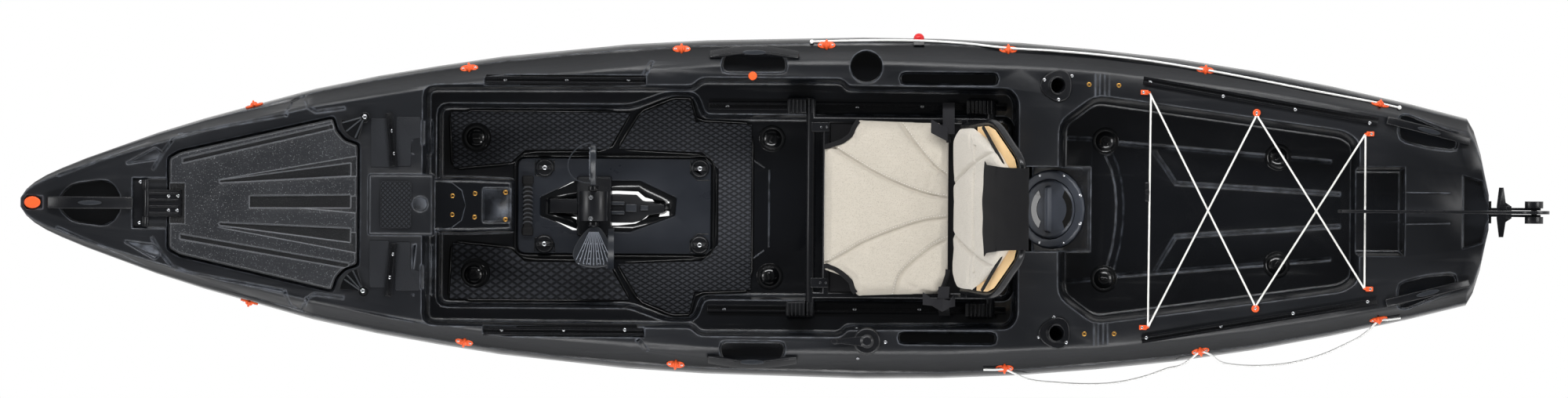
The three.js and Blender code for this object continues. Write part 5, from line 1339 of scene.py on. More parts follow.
@dataclass
class Ropes(Maker):
    """The side ropes with their pad-eyes, and the bungee over the tank well with its hooks."""

    rope_radius: float = 0.003
    bungee_radius: float = 0.0026
    port_length: float = 1.36
    port_route: tuple = (
        (538, -434, 289), (567, -434, 289), (595, -433, 289), (618, -442, 278), (643, -454, 262),
        (673, -463, 221), (732, -469, 181), (817, -473, 153), (895, -469, 147), (973, -452, 166),
        (1036, -429, 204), (1074, -418, 258), (1098, -401, 270), (1123, -382, 288), (1150, -389, 275),
        (1172, -406, 261), (1205, -416, 217), (1286, -420, 170), (1370, -412, 154), (1454, -389, 175),
        (1518, -359, 217), (1552, -340, 257), (1577, -321, 265), (1602, -296, 285), (1634, -291, 284),
        (1662, -287, 282),
    )
    starboard_route: tuple = (
        (73, 448, 280), (166, 451, 277), (272, 453, 273), (377, 452, 273), (483, 446, 278), (599, 434, 288),
        (715, 428, 287), (842, 418, 286), (969, 404, 287), (1131, 379, 287), (1264, 355, 290),
        (1433, 323, 291), (1602, 292, 286), (1651, 281, 287),
    )
    pad_eyes: tuple = (
        (323, 135), (597, 82), (868, 57), (1053, 54), (1285, 62), (1537, 90), (1760, 134),
        (318, 385), (593, 440), (863, 470), (1283, 470), (1533, 449), (1760, 407),
    )
    bungee_corners: tuple = ((1465, 150), (1602, 122), (1741, 99))

    def port(self) -> None:
        """Lays the loose port rope in its sags between the pad-eyes."""
        path = eased([Vector(p) / 1000 for p in self.port_route])
        rope = Bench.strand("port_rope_cord", path, self.rope_radius)
        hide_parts("port_rope")
        self.give(rope, Finish.ROPE, "boat", "white_rope")
        tuple(path[0])
        LOG.info("port rope measures %.3f m", length_of(path))

    def starboard(self) -> None:
        """Lays the taut starboard rope along the gunwale."""
        path = eased([Vector(p) / 1000 for p in self.starboard_route])
        rope = Bench.rod("starboard_rope_line", path, self.rope_radius)
        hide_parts("starboard_rope")
        self.give(rope, Finish.ROPE, "boat", "white_rope")
        knot = Bench.disc("rope_end", 0.0055, 0.012, 0.002, 16, 0.002)
        places = [shift(path[0] + Vector((-0.004, 0, -0.004))),
                  shift(path[-1] + Vector((0.004, 0, -0.004)))]
        self.many("rope_end_knots", knot, places, Finish.ROPE, slot="white_rope")

    def eyes(self) -> None:
        """Screws the orange pad-eyes to the gunwales."""
        outline = [(0.0245 * math.cos(a) * (1 - 0.16 * math.sin(2 * a) ** 2),
                    0.0125 * math.sin(a) * (1 + 0.25 * math.cos(2 * a)), -0.0015)
                   for a in [2 * math.pi * k / 36 for k in range(36)]]
        base = Bench.plate("eye_base", outline, 0.0055, 0.0016)
        hub = Bench.lathe("eye_hub", [(0, 0.0015), (0.0105, 0.0015), (0.0098, 0.006), (0.0075, 0.0095),
                                      (0.0045, 0.0104), (0, 0.0104)], 24)
        bridge = Bench.rod("eye_bridge", eased([(0, -0.0125, 0.002), (0, -0.0105, 0.008), (0, 0, 0.0125),
                                                (0, 0.0105, 0.008), (0, 0.0125, 0.002)], 4), 0.0032)
        eye = Bench.joined("pad_eye", base, hub, bridge)
        places, screws = [], []
        for column, row in self.pad_eyes:
            x, y = self.spot(column, row)
            along = math.atan2(self.half_beam(x + 0.02) - self.half_beam(x - 0.02), 0.04)
            while self.ground.hit(x, y + math.copysign(0.006, y))[1].z < 0.75 and abs(y) > 0.1:
                y -= math.copysign(0.001, y)
            place = self.ground.seat(x, y, turn=math.copysign(1, y) * along)
            places.append(place)
            screws += [place @ shift((off, 0, 0.0035)) for off in (-0.0165, 0.0165)]
        self.each("pad_eye", eye, places, Finish.ORANGE, "orange_plastic")
        self.screws("pad_eye_screws", screws, 0.0032)

    def half_beam(self, x: float) -> float:
        """The hull's half beam at a place along it, found by stepping in from outside.

        Args:
            x: metres along the boat.
        Returns:
            metres from the middle line.
        """
        y = PACKED_BOX[1][1]
        while y > 0.02 and self.ground.hit(x, y)[0].z < 0.05:
            y -= 0.004
        return y

    def bungee(self) -> None:
        """Stretches the bungee over the tank well and sets its hooks, buttons and clip."""
        spots = [self.scale.out(*pair) for pair in self.bungee_corners]

        def held(k: int, sign: int, inward: float = 0.0, step: float = 0.0) -> Vector:
            """Where the cord's middle lies at a corner, on the side that a sign says."""
            x, y = spots[k][0] + step, sign * (spots[k][1] - inward)
            return Vector((x, y, self.ground.hit(x, y)[0].z + self.bungee_radius + 0.0008))

        corners = [held(0, 1), held(1, -1), held(2, 1), held(2, -1), held(1, 1), held(0, -1),
                   held(0, 1, 0.0078, 0.0039)]
        humps = (0, 0, 0, 0.012, 0.012, 0)
        route = [corners[0]]
        for a, b, hump in zip(corners, corners[1:], humps):
            route += [a.lerp(b, t) + UP * (hump if t == 0.5 else 0) for t in (0.02, 0.5, 0.98)] + [b]
        cord = Bench.rod("tank_bungee_cord", eased(route), self.bungee_radius)
        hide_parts("tank_bungee")
        self.give(cord, Finish.BUNGEE, "boat", "white_rope")
        self.hooks(spots)

    def hooks(self, spots: list) -> None:
        """The orange hooks at the ends of the bungee's runs, and the round buttons between them.

        Args:
            spots: the bungee's three corners on one side.
        """
        foot = Bench.block("hook_foot", (0.021, 0.013, 0.006), 0.002)
        jaw = Bench.rod("hook_jaw", eased([(-0.004, 0, 0.004), (-0.011, 0, 0.010), (-0.014, 0, 0.004),
                                           (-0.011, 0, -0.001)], 4), 0.0026)
        hook = Bench.joined("bungee_hook", foot, jaw)
        button = Bench.lathe("bungee_button", [
            (0, -0.001), (0.0105, -0.001), (0.0105, 0.004), (0.0085, 0.0062), (0.0068, 0.0066),
            (0.006, 0.0052), (0, 0.0052)], 28)
        seats, rounds, screws = [], [], []
        for k in (0, 2):
            for sign in (1, -1):
                x, y = spots[k]
                turn = 0.0 if k == 0 else math.pi
                away = 0.013 if k == 0 else -0.013
                seats.append(self.ground.seat(x - away, sign * y, upright=True, turn=math.pi + turn))
                screws.append(seats[-1] @ shift((0.003, 0, 0.0055)))
        for sign in (1, -1):
            x, y = spots[1]
            rounds.append(self.ground.seat(x, sign * (y + 0.006), upright=True))
            screws.append(rounds[-1] @ shift((0, 0, 0.0048)))
        self.each("bungee_hook", hook, seats, Finish.ORANGE, "orange_plastic")
        self.each("bungee_button", button, rounds, Finish.ORANGE, "orange_plastic")
        self.screws("bungee_screws", screws, 0.0036)
        x, y = self.spot(1463, 245)
        clip = Bench.block("bungee_clip", (0.012, 0.052, 0.008), 0.0022)
        lock = Bench.lathe("clip_button", [(0, 0.004), (0.0065, 0.004), (0.006, 0.0115), (0, 0.012)], 20)
        level = (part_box("tank_bungee")[0].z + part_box("tank_bungee")[1].z) / 2
        clip = Bench.joined("bungee_clip", clip, lock)
        Bench.settle(clip, shift((x, y, level - 0.007)))
        self.give(clip, Finish.BLACK)

    def build(self) -> None:
        """Makes all the ropes and what holds them."""
        self.port()
        self.starboard()
        self.eyes()
        self.bungee()


@dataclass
class HullDressing(Maker):
    """The hull with its rounded edges, the scupper plugs, tracks, handles and their screws."""

    plugs: tuple = ((605, 175), (603, 351), (984, 177), (982, 353), (1411, 180), (1410, 356), (1632, 201),
                    (1631, 338))
    track_screws: tuple = (
        (643.6, 102), (722, 102), (800.6, 102), (641, 421), (720, 421), (798, 421),
        (1466, 105), (1559, 123), (1651, 140), (1746, 157),
        (1463, 431), (1558, 416), (1650, 400), (1745, 385),
        (927, 135.5), (1093, 137), (1176, 136), (924.5, 395.5), (1091, 395.5), (1174, 395.5),
        (500, 167), (503, 196), (502, 324.5), (498, 354),
    )
    inserts: tuple = ((1388, 108), (1426, 109), (1384, 426), (1422, 426), (576, 250), (576, 274), (605, 247),
                      (604.5, 277), (644, 245.5), (644, 280))
    tracks: tuple = ("front_track", "rear_track", "seat_track")
    grooves: tuple = (
        ((75, 224), (186, 181.5), 0.006), ((74, 290), (184, 338), 0.006),
        ((811, 112), (831, 78), 0.011), ((805, 422), (827, 448), 0.011),
        ((1362, 176), (1394, 177.5), 0.008), ((1428, 182.6), (1700, 206.5), 0.008),
        ((1360, 360), (1393, 357), 0.008), ((1427, 352), (1700, 331), 0.008),
        ((1473, 193), (1500, 232), 0.008), ((1500, 234), (1712, 248), 0.008),
        ((1474, 348), (1500, 304), 0.008), ((1500, 302), (1712, 289), 0.008),
        ((225, 345), (362, 371), 0.006), ((228, 171), (362, 147), 0.006),
    )
    curves: tuple = (
        (((1415, 197), (1423, 214), (1428, 236), (1430, 261), (1429, 288), (1425, 316), (1418, 343)), 0.02),
        (((364, 148), (371, 129), (386, 121), (393, 137), (403, 143), (440, 138)), 0.008),
        (((364, 371), (371, 389), (386, 397), (393, 381), (403, 375), (440, 380)), 0.008),
        (((196, 216), (209, 194), (222, 176), (250, 167)), 0.007),
        (((195, 303), (208, 324), (221, 340), (248, 350)), 0.007),
    )
    lift: float = 0.0002
    bow_floor: tuple = ((104, 240), (138, 240))
    # outline of a dark glossy sheet in the bow recess: painted shade of the recess
    bow_liner: tuple = ((73, 257), (84, 241), (105, 231), (128, 229), (149, 239), (160, 252), (160, 266),
                        (149, 279), (128, 288), (105, 286), (84, 274))
    recesses: tuple = (
        ((162, 208.5), (199, 189), (207, 195), (201, 203)), ((161, 308), (199, 330), (206, 323), (200, 313)),
        ((526, 154), (549, 154), (549, 196), (526, 196)), ((528, 313), (551, 313), (551, 376), (528, 376)),
        ((616, 241), (650, 241), (650, 283), (616, 283)),
        ((527.5, 260.5), (530, 254), (536.5, 251.5), (543, 254), (545.5, 260.5), (543, 267), (536.5, 269.5),
         (530, 267)),
    )
    # outlines of dark glossy sheets under the front tracks: painted shade round them
    beds: tuple = (((619, 95), (817, 95), (817, 109.5), (619, 109.5)),
                   ((617, 413.5), (814, 413.5), (814, 428), (617, 428)))
    rails: tuple = (
        (((1791, 246), (1850, 247)), 0.0026), (((1791, 286), (1850, 285)), 0.0026),
        (((981, 216), (981, 316)), 0.003),
        (((940, 190), (975, 214)), 0.003), (((940, 346), (975, 320)), 0.003),
        (((558, 231), (575, 233), (588, 243), (593, 262), (588, 281), (575, 291), (558, 293)), 0.0016),
    )

    def cutters(self) -> list:
        """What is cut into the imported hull: fine grooves, flutes, the arc and the shallow recesses."""
        cuts = [self.channel("groove", (start, end), width, 0.003) for start, end, width in self.grooves]
        cuts += [self.channel("groove", line, width, 0.0026) for line, width in self.curves]
        cuts += [self.recess("hull_recess", corners, 0.0045, 0.003, 1.5) for corners in self.recesses]
        return cuts

    def trim(self) -> None:
        """Dark glossy sheets under the front tracks and in the bow recess, painted shade there, and the
        raised beads of the stern, floor and console.
        """
        beds = []
        # Painted shade: dark glossy sheets under the front tracks.
        for corners in self.beds:
            middle = Vector(corners[0]).lerp(Vector(corners[2]), 0.5)
            level = self.ground.hit(*self.spot(*middle))[0].z + self.lift
            beds.append(Bench.plate("track_bed", self.level(rounded_corners(corners, 1.5), level), 0.0012))
        self.group("track_beds", beds, Finish.GLOSS)
        # Painted shade: a dark glossy sheet on the bow recess's floor, following its slope.
        fore, aft = (self.ground.hit(*self.spot(*pixel))[0] for pixel in self.bow_floor)
        slope = (aft.z - fore.z) / (aft.x - fore.x)
        bow_shade_outline = [(x, y, z + slope * (x - fore.x) + self.lift)
                 for x, y, z in self.level(rounded_corners(self.bow_liner, 3), fore.z)]
        self.give(Bench.plate("bow_liner", bow_shade_outline, 0.001), Finish.GLOSS)
        beads = [self.bead("rail", line, radius) for line, radius in self.rails]
        self.group("hull_beads", beads, Finish.HULL, slot="hull_plastic")

    def scuppers(self) -> None:
        """Eight glossy scupper plugs, each a dome in a ring with a pull tab."""
        dome = Bench.lathe("plug_dome", [
            (0, -0.004), (0.036, -0.004), (0.036, 0.001), (0.0345, 0.0032), (0.031, 0.0036),
            (0.0285, 0.0020), (0.0262, 0.0016), (0.0245, 0.0044), (0.0205, 0.0085), (0.014, 0.0118),
            (0.007, 0.0132), (0, 0.0135)], 40)
        tab = Bench.block("plug_tab", (0.020, 0.0075, 0.0045), 0.0018)
        Bench.settle(tab, shift((0, 0, 0.0118)))
        plug = Bench.joined("scupper_plug", dome, tab)
        places = []
        for k, (column, row) in enumerate(self.plugs):
            x, y = self.spot(column, row)
            round_it = [2 * math.pi * i / 12 for i in range(12)]
            level = max(self.ground.hit(x + 0.028 * math.cos(a), y + 0.028 * math.sin(a))[0].z
                        for a in round_it)
            places.append(shift((x, y, level)) @ Matrix.Rotation(0.6 * k, 4, "Z"))
        self.each("scupper_plug", plug, places, Finish.GLOSS, "black_rubber")

    def fittings(self) -> None:
        """Rounds the tracks, handles and small fittings of the hull, and sets their screws."""
        for name in self.tracks:
            for side in Side:
                self.dressed(f"{name}_{side.word}", Finish.ANODISED, 0.0008)
        for side in Side:
            self.dressed(f"dash_track_{side.word}", Finish.ANODISED, 0.0008)
            self.dressed(f"side_handle_{side.word}", Finish.BLACK, 0.0035, 0.5, 3)
            self.dressed(f"stern_handle_{side.word}", Finish.BLACK, 0.0035, 0.5, 3)
            self.dressed(f"rod_holder_{side.word}", Finish.BLACK, 0.002)
        self.dressed("bow_handle", Finish.BLACK, 0.0035, 0.5, 3)
        self.dressed("bow_drain_plug", Finish.ORANGE, 0.002)
        nodes = [n for n in frame["nodes"] if "track" in n] + ["hull"]
        self.screws("track_screws", self.seats(self.track_screws, *nodes, upright=True), 0.0042)

    def brass(self) -> None:
        """The brass threaded inserts in the console and beside the rod holders."""
        ring = Bench.lathe("insert", [(0.0022, -0.002), (0.0062, -0.002), (0.0062, 0.0006), (0.0055, 0.0011),
                                      (0.003, 0.0011), (0.0022, 0.0004)], 24)
        self.many("brass_inserts", ring, self.seats(self.inserts), Finish.BRASS, slot="anodised_aluminium")

    def handles(self) -> None:
        """Lens-shaped pads let into the tops of the carry handles."""
        outline = [(0.032 * math.cos(a), 0.0065 * math.sin(a), 0.0) for a in
                   [2 * math.pi * k / 32 for k in range(32)]]
        pad = Bench.plate("handle_pad", outline, 0.0022, 0.0009)
        places = []
        for node in ("bow_handle", "side_handle_starboard", "side_handle_port", "stern_handle_starboard",
                     "stern_handle_port"):
            low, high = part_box(node)
            x, y = (low.x + high.x) / 2, (low.y + high.y) / 2
            lean = 0.0
            if node.startswith("stern"):
                lean = -math.copysign(math.atan2(high.y - low.y - 0.02, high.x - low.x), y)
            places.append(self.ground.seat(x, y, node, upright=True, turn=lean))
        self.many("handle_pads", pad, places, Finish.GREY)

    def build(self) -> None:
        """Makes the hull's dressing."""
        self.dressed("hull", Finish.HULL, 0.0028, 0.7, 2, tuple(self.cutters()))
        self.trim()
        self.scuppers()
        self.fittings()
        self.brass()
        self.handles()


@dataclass
class BowHatch(Maker):
    """The speckled bow hatch lid with its hinge and latches."""

    leaf_screws: tuple = ((216, 250), (228, 250), (216, 268.5), (227, 268.5))
    base_screws: tuple = ((180, 232), (198, 232), (179, 284), (197, 284))
    channels: tuple = (
        ((234, 202), (424, 158.5), (425.5, 164.5), (234, 208)),
        ((281, 230), (448, 208), (448, 224.5), (281, 233.5)),
        ((319, 250), (448, 249), (448, 265.5), (319, 265)),
        ((281, 284), (448, 291.5), (448, 309.5), (281, 287.5)),
        ((231, 298.5), (446, 336), (445, 342.5), (231, 305)),
    )
    channel_depth: float = 0.0055
    level_spots: tuple = ((245, 214), (400, 190))
    latch_ribs: tuple = (((461, 150), (432, 158)), ((461, 152), (440, 169)), ((463, 153), (452, 178)),
                         ((460, 370), (431, 350)), ((460, 368), (438, 345)), ((462, 367), (450, 343)))

    def build(self) -> None:
        """Dresses the lid with its channels, the hinge and the latches, and sets their screws."""
        fore, aft = (self.ground.hit(*self.spot(*pixel), "bow_hatch_lid")[0] for pixel in self.level_spots)
        cuts = []
        for corners in self.channels:
            spots = [self.spot(*pixel) for pixel in rounded_corners(corners, 1.2)]
            outline = [(x, y, fore.z + (aft.z - fore.z) * (x - fore.x) / (aft.x - fore.x)) for x, y in spots]
            cuts.append(Bench.trough("lid_channel", outline, self.channel_depth, 0.0015))
        self.dressed("bow_hatch_lid", Finish.LID, 0.002, 0.45, 2, tuple(cuts))
        self.dressed("hatch_hinge_base", Finish.BLACK, 0.0016)
        self.dressed("hatch_hinge_leaf", Finish.BLACK, 0.0016)
        for side in Side:
            self.dressed(f"hatch_latch_{side.word}", Finish.GLOSS, 0.0016)
        leaf = self.seats(self.leaf_screws, "hatch_hinge_leaf")
        self.screws("hinge_leaf_screws", leaf, 0.0042, "bow_hatch")
        self.screws("hinge_base_screws", self.seats(self.base_screws, "hatch_hinge_base"), 0.0042)
        for side, pixel in ((Side.STARBOARD, (465, 149)), (Side.PORT, (464, 371))):
            node = f"hatch_latch_{side.word}"
            self.screws(f"latch_screw_{side.word}", self.seats((pixel,), node), 0.0058, node)
            lines = self.latch_ribs[:3] if side is Side.STARBOARD else self.latch_ribs[3:]
            # The ribs are grey, lighter than the glossy black latch: a painted highlight.
            ribs = [self.bead("latch_rib", line, 0.0022, (node,)) for line in lines]
            self.group(f"latch_ribs_{side.word}", ribs, Finish.GREY, node)


@dataclass
class Console(Maker):
    """The dash pads beside the tracks, the tray pad and the plates on the console."""

    pads: tuple = (
        ((473, 151), (497, 151), (497, 213), (473, 213)),
        ((505, 149), (536, 149), (536, 176), (524, 178), (524, 212), (505, 212)),
        ((472, 307), (497, 307), (497, 367), (472, 367)),
        ((505, 309), (524, 309), (524, 343), (536, 346), (536, 371), (505, 371)),
    )

    def build(self) -> None:
        """Makes the console's pads."""
        for k, corners in enumerate(self.pads):
            spots = [self.spot(*pixel) for pixel in rounded_corners(corners, 2.2)]
            level = min(self.ground.hit(x, y)[0].z for x, y in spots)
            top = max(self.ground.hit(x, y)[0].z for x, y in spots)
            outline = [(x, y, (level if top - level > 0.01 else self.ground.hit(x, y)[0].z) + 0.0001)
                       for x, y in reversed(spots)]
            pad = Bench.plate(f"dash_pad_{k + 1}", outline, 0.002, 0.0007)
            self.give(pad, Finish.PANEL)
        self.dressed("console_pad", Finish.PAD, 0.0015)


def rounded_corners(corners: tuple, radius: float, steps: int = 3) -> list:
    """A polygon with each corner replaced by a short arc.

    Args:
        corners: the polygon's corners.
        radius: how far from each corner its arc starts.
        steps: points of each arc less one.
    Returns:
        the points.
    """
    points = []
    for k, corner in enumerate(corners):
        here = Vector(corner)
        before, after = Vector(corners[k - 1]), Vector(corners[(k + 1) % len(corners)])
        start = here + (before - here).normalized() * radius
        end = here + (after - here).normalized() * radius
        for i in range(steps + 1):
            t = i / steps
            points.append(tuple(start * (1 - t) ** 2 + here * 2 * t * (1 - t) + end * t ** 2))
    return points


@dataclass
class Footwell(Maker):
    """The three deck mats with their glossy rims."""

    rims: tuple = (("forward_mat_starboard", 0.006, 0.0034), ("forward_mat_port", 0.006, 0.0034),
                   ("rear_mat", 0.006, 0.0034), ("drive_plate", 0.010, 0.0045))

    def rim(self, node: str, gap: float, radius: float) -> Piece:
        """A bead on the floor all round the foot of a flat node.

        Args:
            node: the node's name.
            gap: how far outside the node the bead's middle lies.
            radius: the bead's radius.
        Returns:
            the bead.
        """
        mesh = frame["nodes"][node].data
        top = max(v.co.z for v in mesh.vertices)
        edges = set()
        for face in mesh.polygons:
            if face.normal.z > 0.9 and face.center.z > top - 1e-4:
                ring = [tuple(round(c, 5) for c in mesh.vertices[i].co) for i in face.vertices]
                edges.update(zip(ring, [*ring[1:], ring[0]]))
        points = {a: b for a, b in edges if (b, a) not in edges}
        start = max(points, key=lambda p: abs(p[1]) * 10 + p[0])
        loop = [start]
        while points.get(loop[-1], start) != start and len(loop) <= len(points):
            loop.append(points[loop[-1]])
        corners = [Vector((x, y, top)) for x, y, _ in loop]
        path = []
        for k, corner in enumerate(corners):
            before = (corner - corners[k - 1]).normalized()
            after = (corners[(k + 1) % len(corners)] - corner).normalized()
            out = (before + after).normalized()
            path.append(corner + Vector((out.y, -out.x, 0)) * gap)
        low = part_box(node)[0].z
        path = [Vector((p.x, p.y, low + radius * 0.3)) for p in path]
        return Bench.rod(f"{node}_rim", [p.lerp(q, t) for p, q in zip(path, [*path[1:], path[0]])
                                         for t in (0.12, 0.88)], radius, True)

    def build(self) -> None:
        """Dresses the mats and lays the rims."""
        for node, gap, radius in self.rims:
            self.give(self.rim(node, gap, radius), Finish.GLOSS)
        for node, finish in (("forward_mat_starboard", Finish.MAT), ("forward_mat_port", Finish.MAT_LARGE),
                             ("rear_mat", Finish.MAT)):
            self.dressed(node, finish, 0.0016, 0.5)


@dataclass
class PedalDrive(Maker):
    """The drive: its cover plate, knobs, grip, housing, crank, pedals, leg and propeller."""

    crank_middle: tuple = (-0.51618, 0.0, 0.348)
    crank_radius: float = 0.155
    pedal_length: float = 0.118
    strap_aft: float = 0.047
    arch: tuple = ((1.02, 0.0), (1.0, 0.022), (0.80, 0.052), (0.5, 0.066), (0.22, 0.056), (0.08, 0.026),
                   (0.06, 0.0))
    grip_ribs: int = 9
    hexagon: tuple = ((688, 252), (733, 231), (815, 231), (862, 253), (860, 275), (803, 296), (741, 295),
                      (688, 275))
    mouth: tuple = (
        (708, 256), (712, 255.5), (730, 254), (739, 250), (750, 244.5), (786, 243.5), (813, 244.5),
        (822, 252), (831, 254.5), (853, 257.5), (853, 275.5), (823, 278.5), (810, 285.5), (787, 288),
        (751, 287.5), (738, 282.5), (729, 277.5), (708, 271),
    )
    deep: tuple = (
        (713, 260), (730, 258.5), (741, 254), (751, 248.5), (786, 247.5), (811, 248.5), (819, 256),
        (829, 258.5), (846, 261.5), (846, 271.5), (826, 275), (817, 282), (806, 284.5), (786, 284.5),
        (752, 284), (741, 279), (731, 274), (713, 266.5),
    )
    bars: tuple = ((786, 259.5, 19, 4.5), (786, 271.5, 19, 4.5), (770, 253, 10, 3.5), (770, 278, 10, 3.5),
                   (735, 265.5, 22, 8), (804, 265.5, 14, 10), (821, 265.5, 10, 6.5), (722, 261.5, 10, 3),
                   (722, 270, 10, 3))
    knob_rims: tuple = (
        ((681, 201.5), (705, 201.5), (705, 217), (698, 224), (681, 224)),
        ((880, 205), (907, 205), (907, 230), (889, 230), (880, 221)),
        ((880, 308), (889, 299), (906, 299), (906, 323), (880, 323)),
        ((681, 304), (698, 304), (706, 311), (706, 327), (681, 327)),
    )

    def deep_parts(self, level: float) -> None:
        """The dark gear case low in the plate's mouth, with its grey bars, and the rims by the knobs.

        Args:
            level: the height of the plate's top.
        """
        spots = self.level(rounded_corners(self.deep, 0.8, 1), level - 0.011)
        self.give(Bench.plate("gear_case", spots, 0.006, 0.0012), Finish.BLACK)
        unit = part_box("hull")[1].y / self.scale.half_beam_pixels
        made = []
        for column, row, length, width in self.bars:
            bar = Bench.block("gear_bar", (length * unit, width * unit, 0.006), 0.0016)
            x, y = self.spot(column, row)
            made.append(Bench.settle(bar, shift((x, y, level - 0.0062))))
        self.group("gear_bars", made, Finish.GREY)
        rims = [self.bead("knob_rim", corners, 0.0014, ("drive_plate",), True) for corners in self.knob_rims]
        self.group("knob_rims", rims, Finish.GLOSS)

    def plate(self) -> None:
        """The cover plate with its black recess, its knobs and grip."""
        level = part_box("drive_plate")[1].z
        spots = [(*self.spot(*pixel), level) for pixel in rounded_corners(self.hexagon, 2.0)]
        cut = Bench.trough("plate_recess", spots, 0.0075, 0.003)
        self.dressed("drive_plate", Finish.DRIVE, 0.0015, cutters=(cut,))
        floor = level - 0.0075
        lining = Bench.plate("plate_lining", [(x, y, floor) for x, y, _ in reversed(spots)], 0.0014)
        mouth = [(*self.spot(*pixel), floor) for pixel in self.mouth]
        Bench.carve(lining, [Bench.trough("lining_mouth", mouth, 0.004)])
        self.give(lining, Finish.GLOSS)
        self.deep_parts(level)
        for end in ("front", "rear"):
            for side in Side:
                node = f"plate_knob_{end}_{side.word}"
                self.dressed(node, Finish.BLACK, 0.0022, 0.5, 3)
                low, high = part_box(node)
                place = self.ground.seat((low.x + high.x) / 2, (low.y + high.y) / 2, node, upright=True)
                self.screws(f"{node}_screw", [place], 0.006, node)
        self.grip()

    def grip(self) -> None:
        """The lifting grip: a rounded bar with crescent ribs and thick ends."""
        low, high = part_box("drive_grip")
        middle = (low + high) / 2
        width, length = high.x - low.x, high.y - low.y
        bar = Bench.block("grip_bar", (width * 0.78, length * 0.98, 0.010), 0.0045, 4)
        Bench.settle(bar, shift((middle.x, 0, low.z)))
        parts = [bar]
        rib = Bench.rod("grip_rib", [(width * 0.40 * math.cos(a), 0.007 * math.sin(a) - 0.003, 0.0095)
                                     for a in [math.pi * k / 14 for k in range(15)]], 0.0022)
        gap = length * 0.64 / self.grip_ribs
        places = [shift((middle.x, (k - (self.grip_ribs - 1) / 2) * gap, low.z))
                  for k in range(self.grip_ribs)]
        parts += Bench.copies(rib, "grip_rib", places)
        for sign in (1, -1):
            end = Bench.block("grip_end", (width, length * 0.15, high.z - low.z), 0.0055, 4)
            parts.append(Bench.settle(end, shift((middle.x, sign * length * 0.42, low.z))))
        self.group("grip_ribs", parts[1:1 + self.grip_ribs], Finish.GREY, slot="black_rubber")
        grip = Bench.joined("drive_grip_ribbed", parts[0], *parts[1 + self.grip_ribs:])
        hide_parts("drive_grip")
        self.give(grip, Finish.RUBBER, "boat", "black_rubber")

    def pedal(self, side: Side) -> None:
        """One pedal: a scallop-shaped shell with fanned ribs and studs, and its strap.

        Args:
            side: its side.
        """
        node = f"pedal_{side.word}"
        low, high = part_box(node)
        start, end = min(abs(low.y), abs(high.y)), max(abs(low.y), abs(high.y))
        width = end - start
        shell = [(0.12, -0.20), (0.03, -0.10), (0.0, 0.06), (0.06, 0.17), (0.22, 0.27), (0.45, 0.40),
                 (0.68, 0.475), (0.86, 0.44), (0.97, 0.27), (1.0, 0.04), (0.98, -0.20), (0.88, -0.40),
                 (0.70, -0.485), (0.46, -0.43), (0.25, -0.30)]
        closed = [Vector((a * self.pedal_length, s * width, 0)) for s, a in shell]
        ring = eased([*closed, closed[0]], 3)[:-1]
        body = Bench.plate("pedal_shell", [(p.x, p.y, -0.009) for p in ring], 0.016, 0.004)
        parts = [body]
        for k in range(11):
            lean = (k - 5) / 5
            far = Vector((lean * 0.40 * self.pedal_length, width * (0.94 - 0.13 * lean ** 2), 0.0072))
            near = Vector((lean * 0.10 * self.pedal_length, width * 0.13, 0.0072))
            crest = near.lerp(far, 0.5) + UP * 0.0012
            parts.append(Bench.rod("pedal_rib", [near, crest, far], 0.0013, sides=2))
        stud = Bench.lathe("pedal_stud", [(0, 0.006), (0.0022, 0.006), (0.0019, 0.0098), (0, 0.0104)], 10)
        dots = [shift(((k - 3) / 3 * (0.07 + 0.30 * t) * self.pedal_length, width * t, 0))
                for t in (0.42, 0.6, 0.78, 0.9) for k in range(7)]
        parts += Bench.copies(stud, "pedal_stud", dots)
        pedal = Bench.joined(f"pedal_shell_{side.word}", parts[0])
        ribs = Bench.joined(f"pedal_ribs_{side.word}", *parts[1:])
        x, _, z = self.crank_middle
        z += side.value * self.crank_radius
        turn = Matrix.Rotation(-math.pi / 2, 4, "Y") if side is Side.STARBOARD else Matrix()
        mirror = Matrix.Diagonal((1, side.value, 1, 1))
        for piece in (pedal, ribs):
            piece.data.transform(mirror)
            if side is Side.PORT:
                piece.data.flip_normals()
            Bench.settle(piece, shift((x, side.value * start, z)) @ turn)
        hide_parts(node)
        self.give(pedal, Finish.GREY, node, "grey_plastic")
        self.give(ribs, Finish.SILVER, node, "grey_plastic")
        self.strap(side, Vector((x, side.value * start, z)), turn @ mirror, width)

    def strap(self, side: Side, place: Vector, turn: Matrix, width: float) -> None:
        """The pedal's foot strap, a thin loop over its face.

        Args:
            side: its side.
            place: the middle of the pedal's inner end.
            turn: the pedal's turn.
            width: the pedal's width.
        """
        loop = [Vector((self.strap_aft, width * share, rise)) for share, rise in self.arch]
        path = [place + turn @ p for p in eased(loop, 5)]
        wide = turn.to_3x3() @ Vector((0.008, 0, 0))
        strap = Bench.ribbon(f"pedal_strap_{side.word}", path, [wide] * len(path), 0.0028)
        self.give(strap, Finish.GREY, f"pedal_{side.word}", "grey_plastic")

    def works(self) -> None:
        """The housing, crank, leg and propeller, with the bolts of the crank arms."""
        self.dressed("drive_housing", Finish.BLACK, 0.002)
        self.dressed("crank", Finish.ANODISED, 0.0016)
        self.dressed("drive_leg", Finish.BLACK, 0.002)
        self.dressed("propeller", Finish.BLACK, 0.0008)
        bolt = Bench.lathe("arm_bolt", [(0, -0.001), (0.0068, -0.001), (0.0068, 0.0035), (0.0055, 0.0048),
                                        (0.0035, 0.0048), (0.003, 0.0028), (0, 0.0028)], 6)
        places = self.seats(((754, 252), (754, 279)), "drive_housing", upright=True)
        self.many("housing_bolts", bolt, places, Finish.STEEL, slot="anodised_aluminium")

    def build(self) -> None:
        """Makes the whole drive."""
        self.plate()
        for side in Side:
            self.pedal(side)
        self.works()


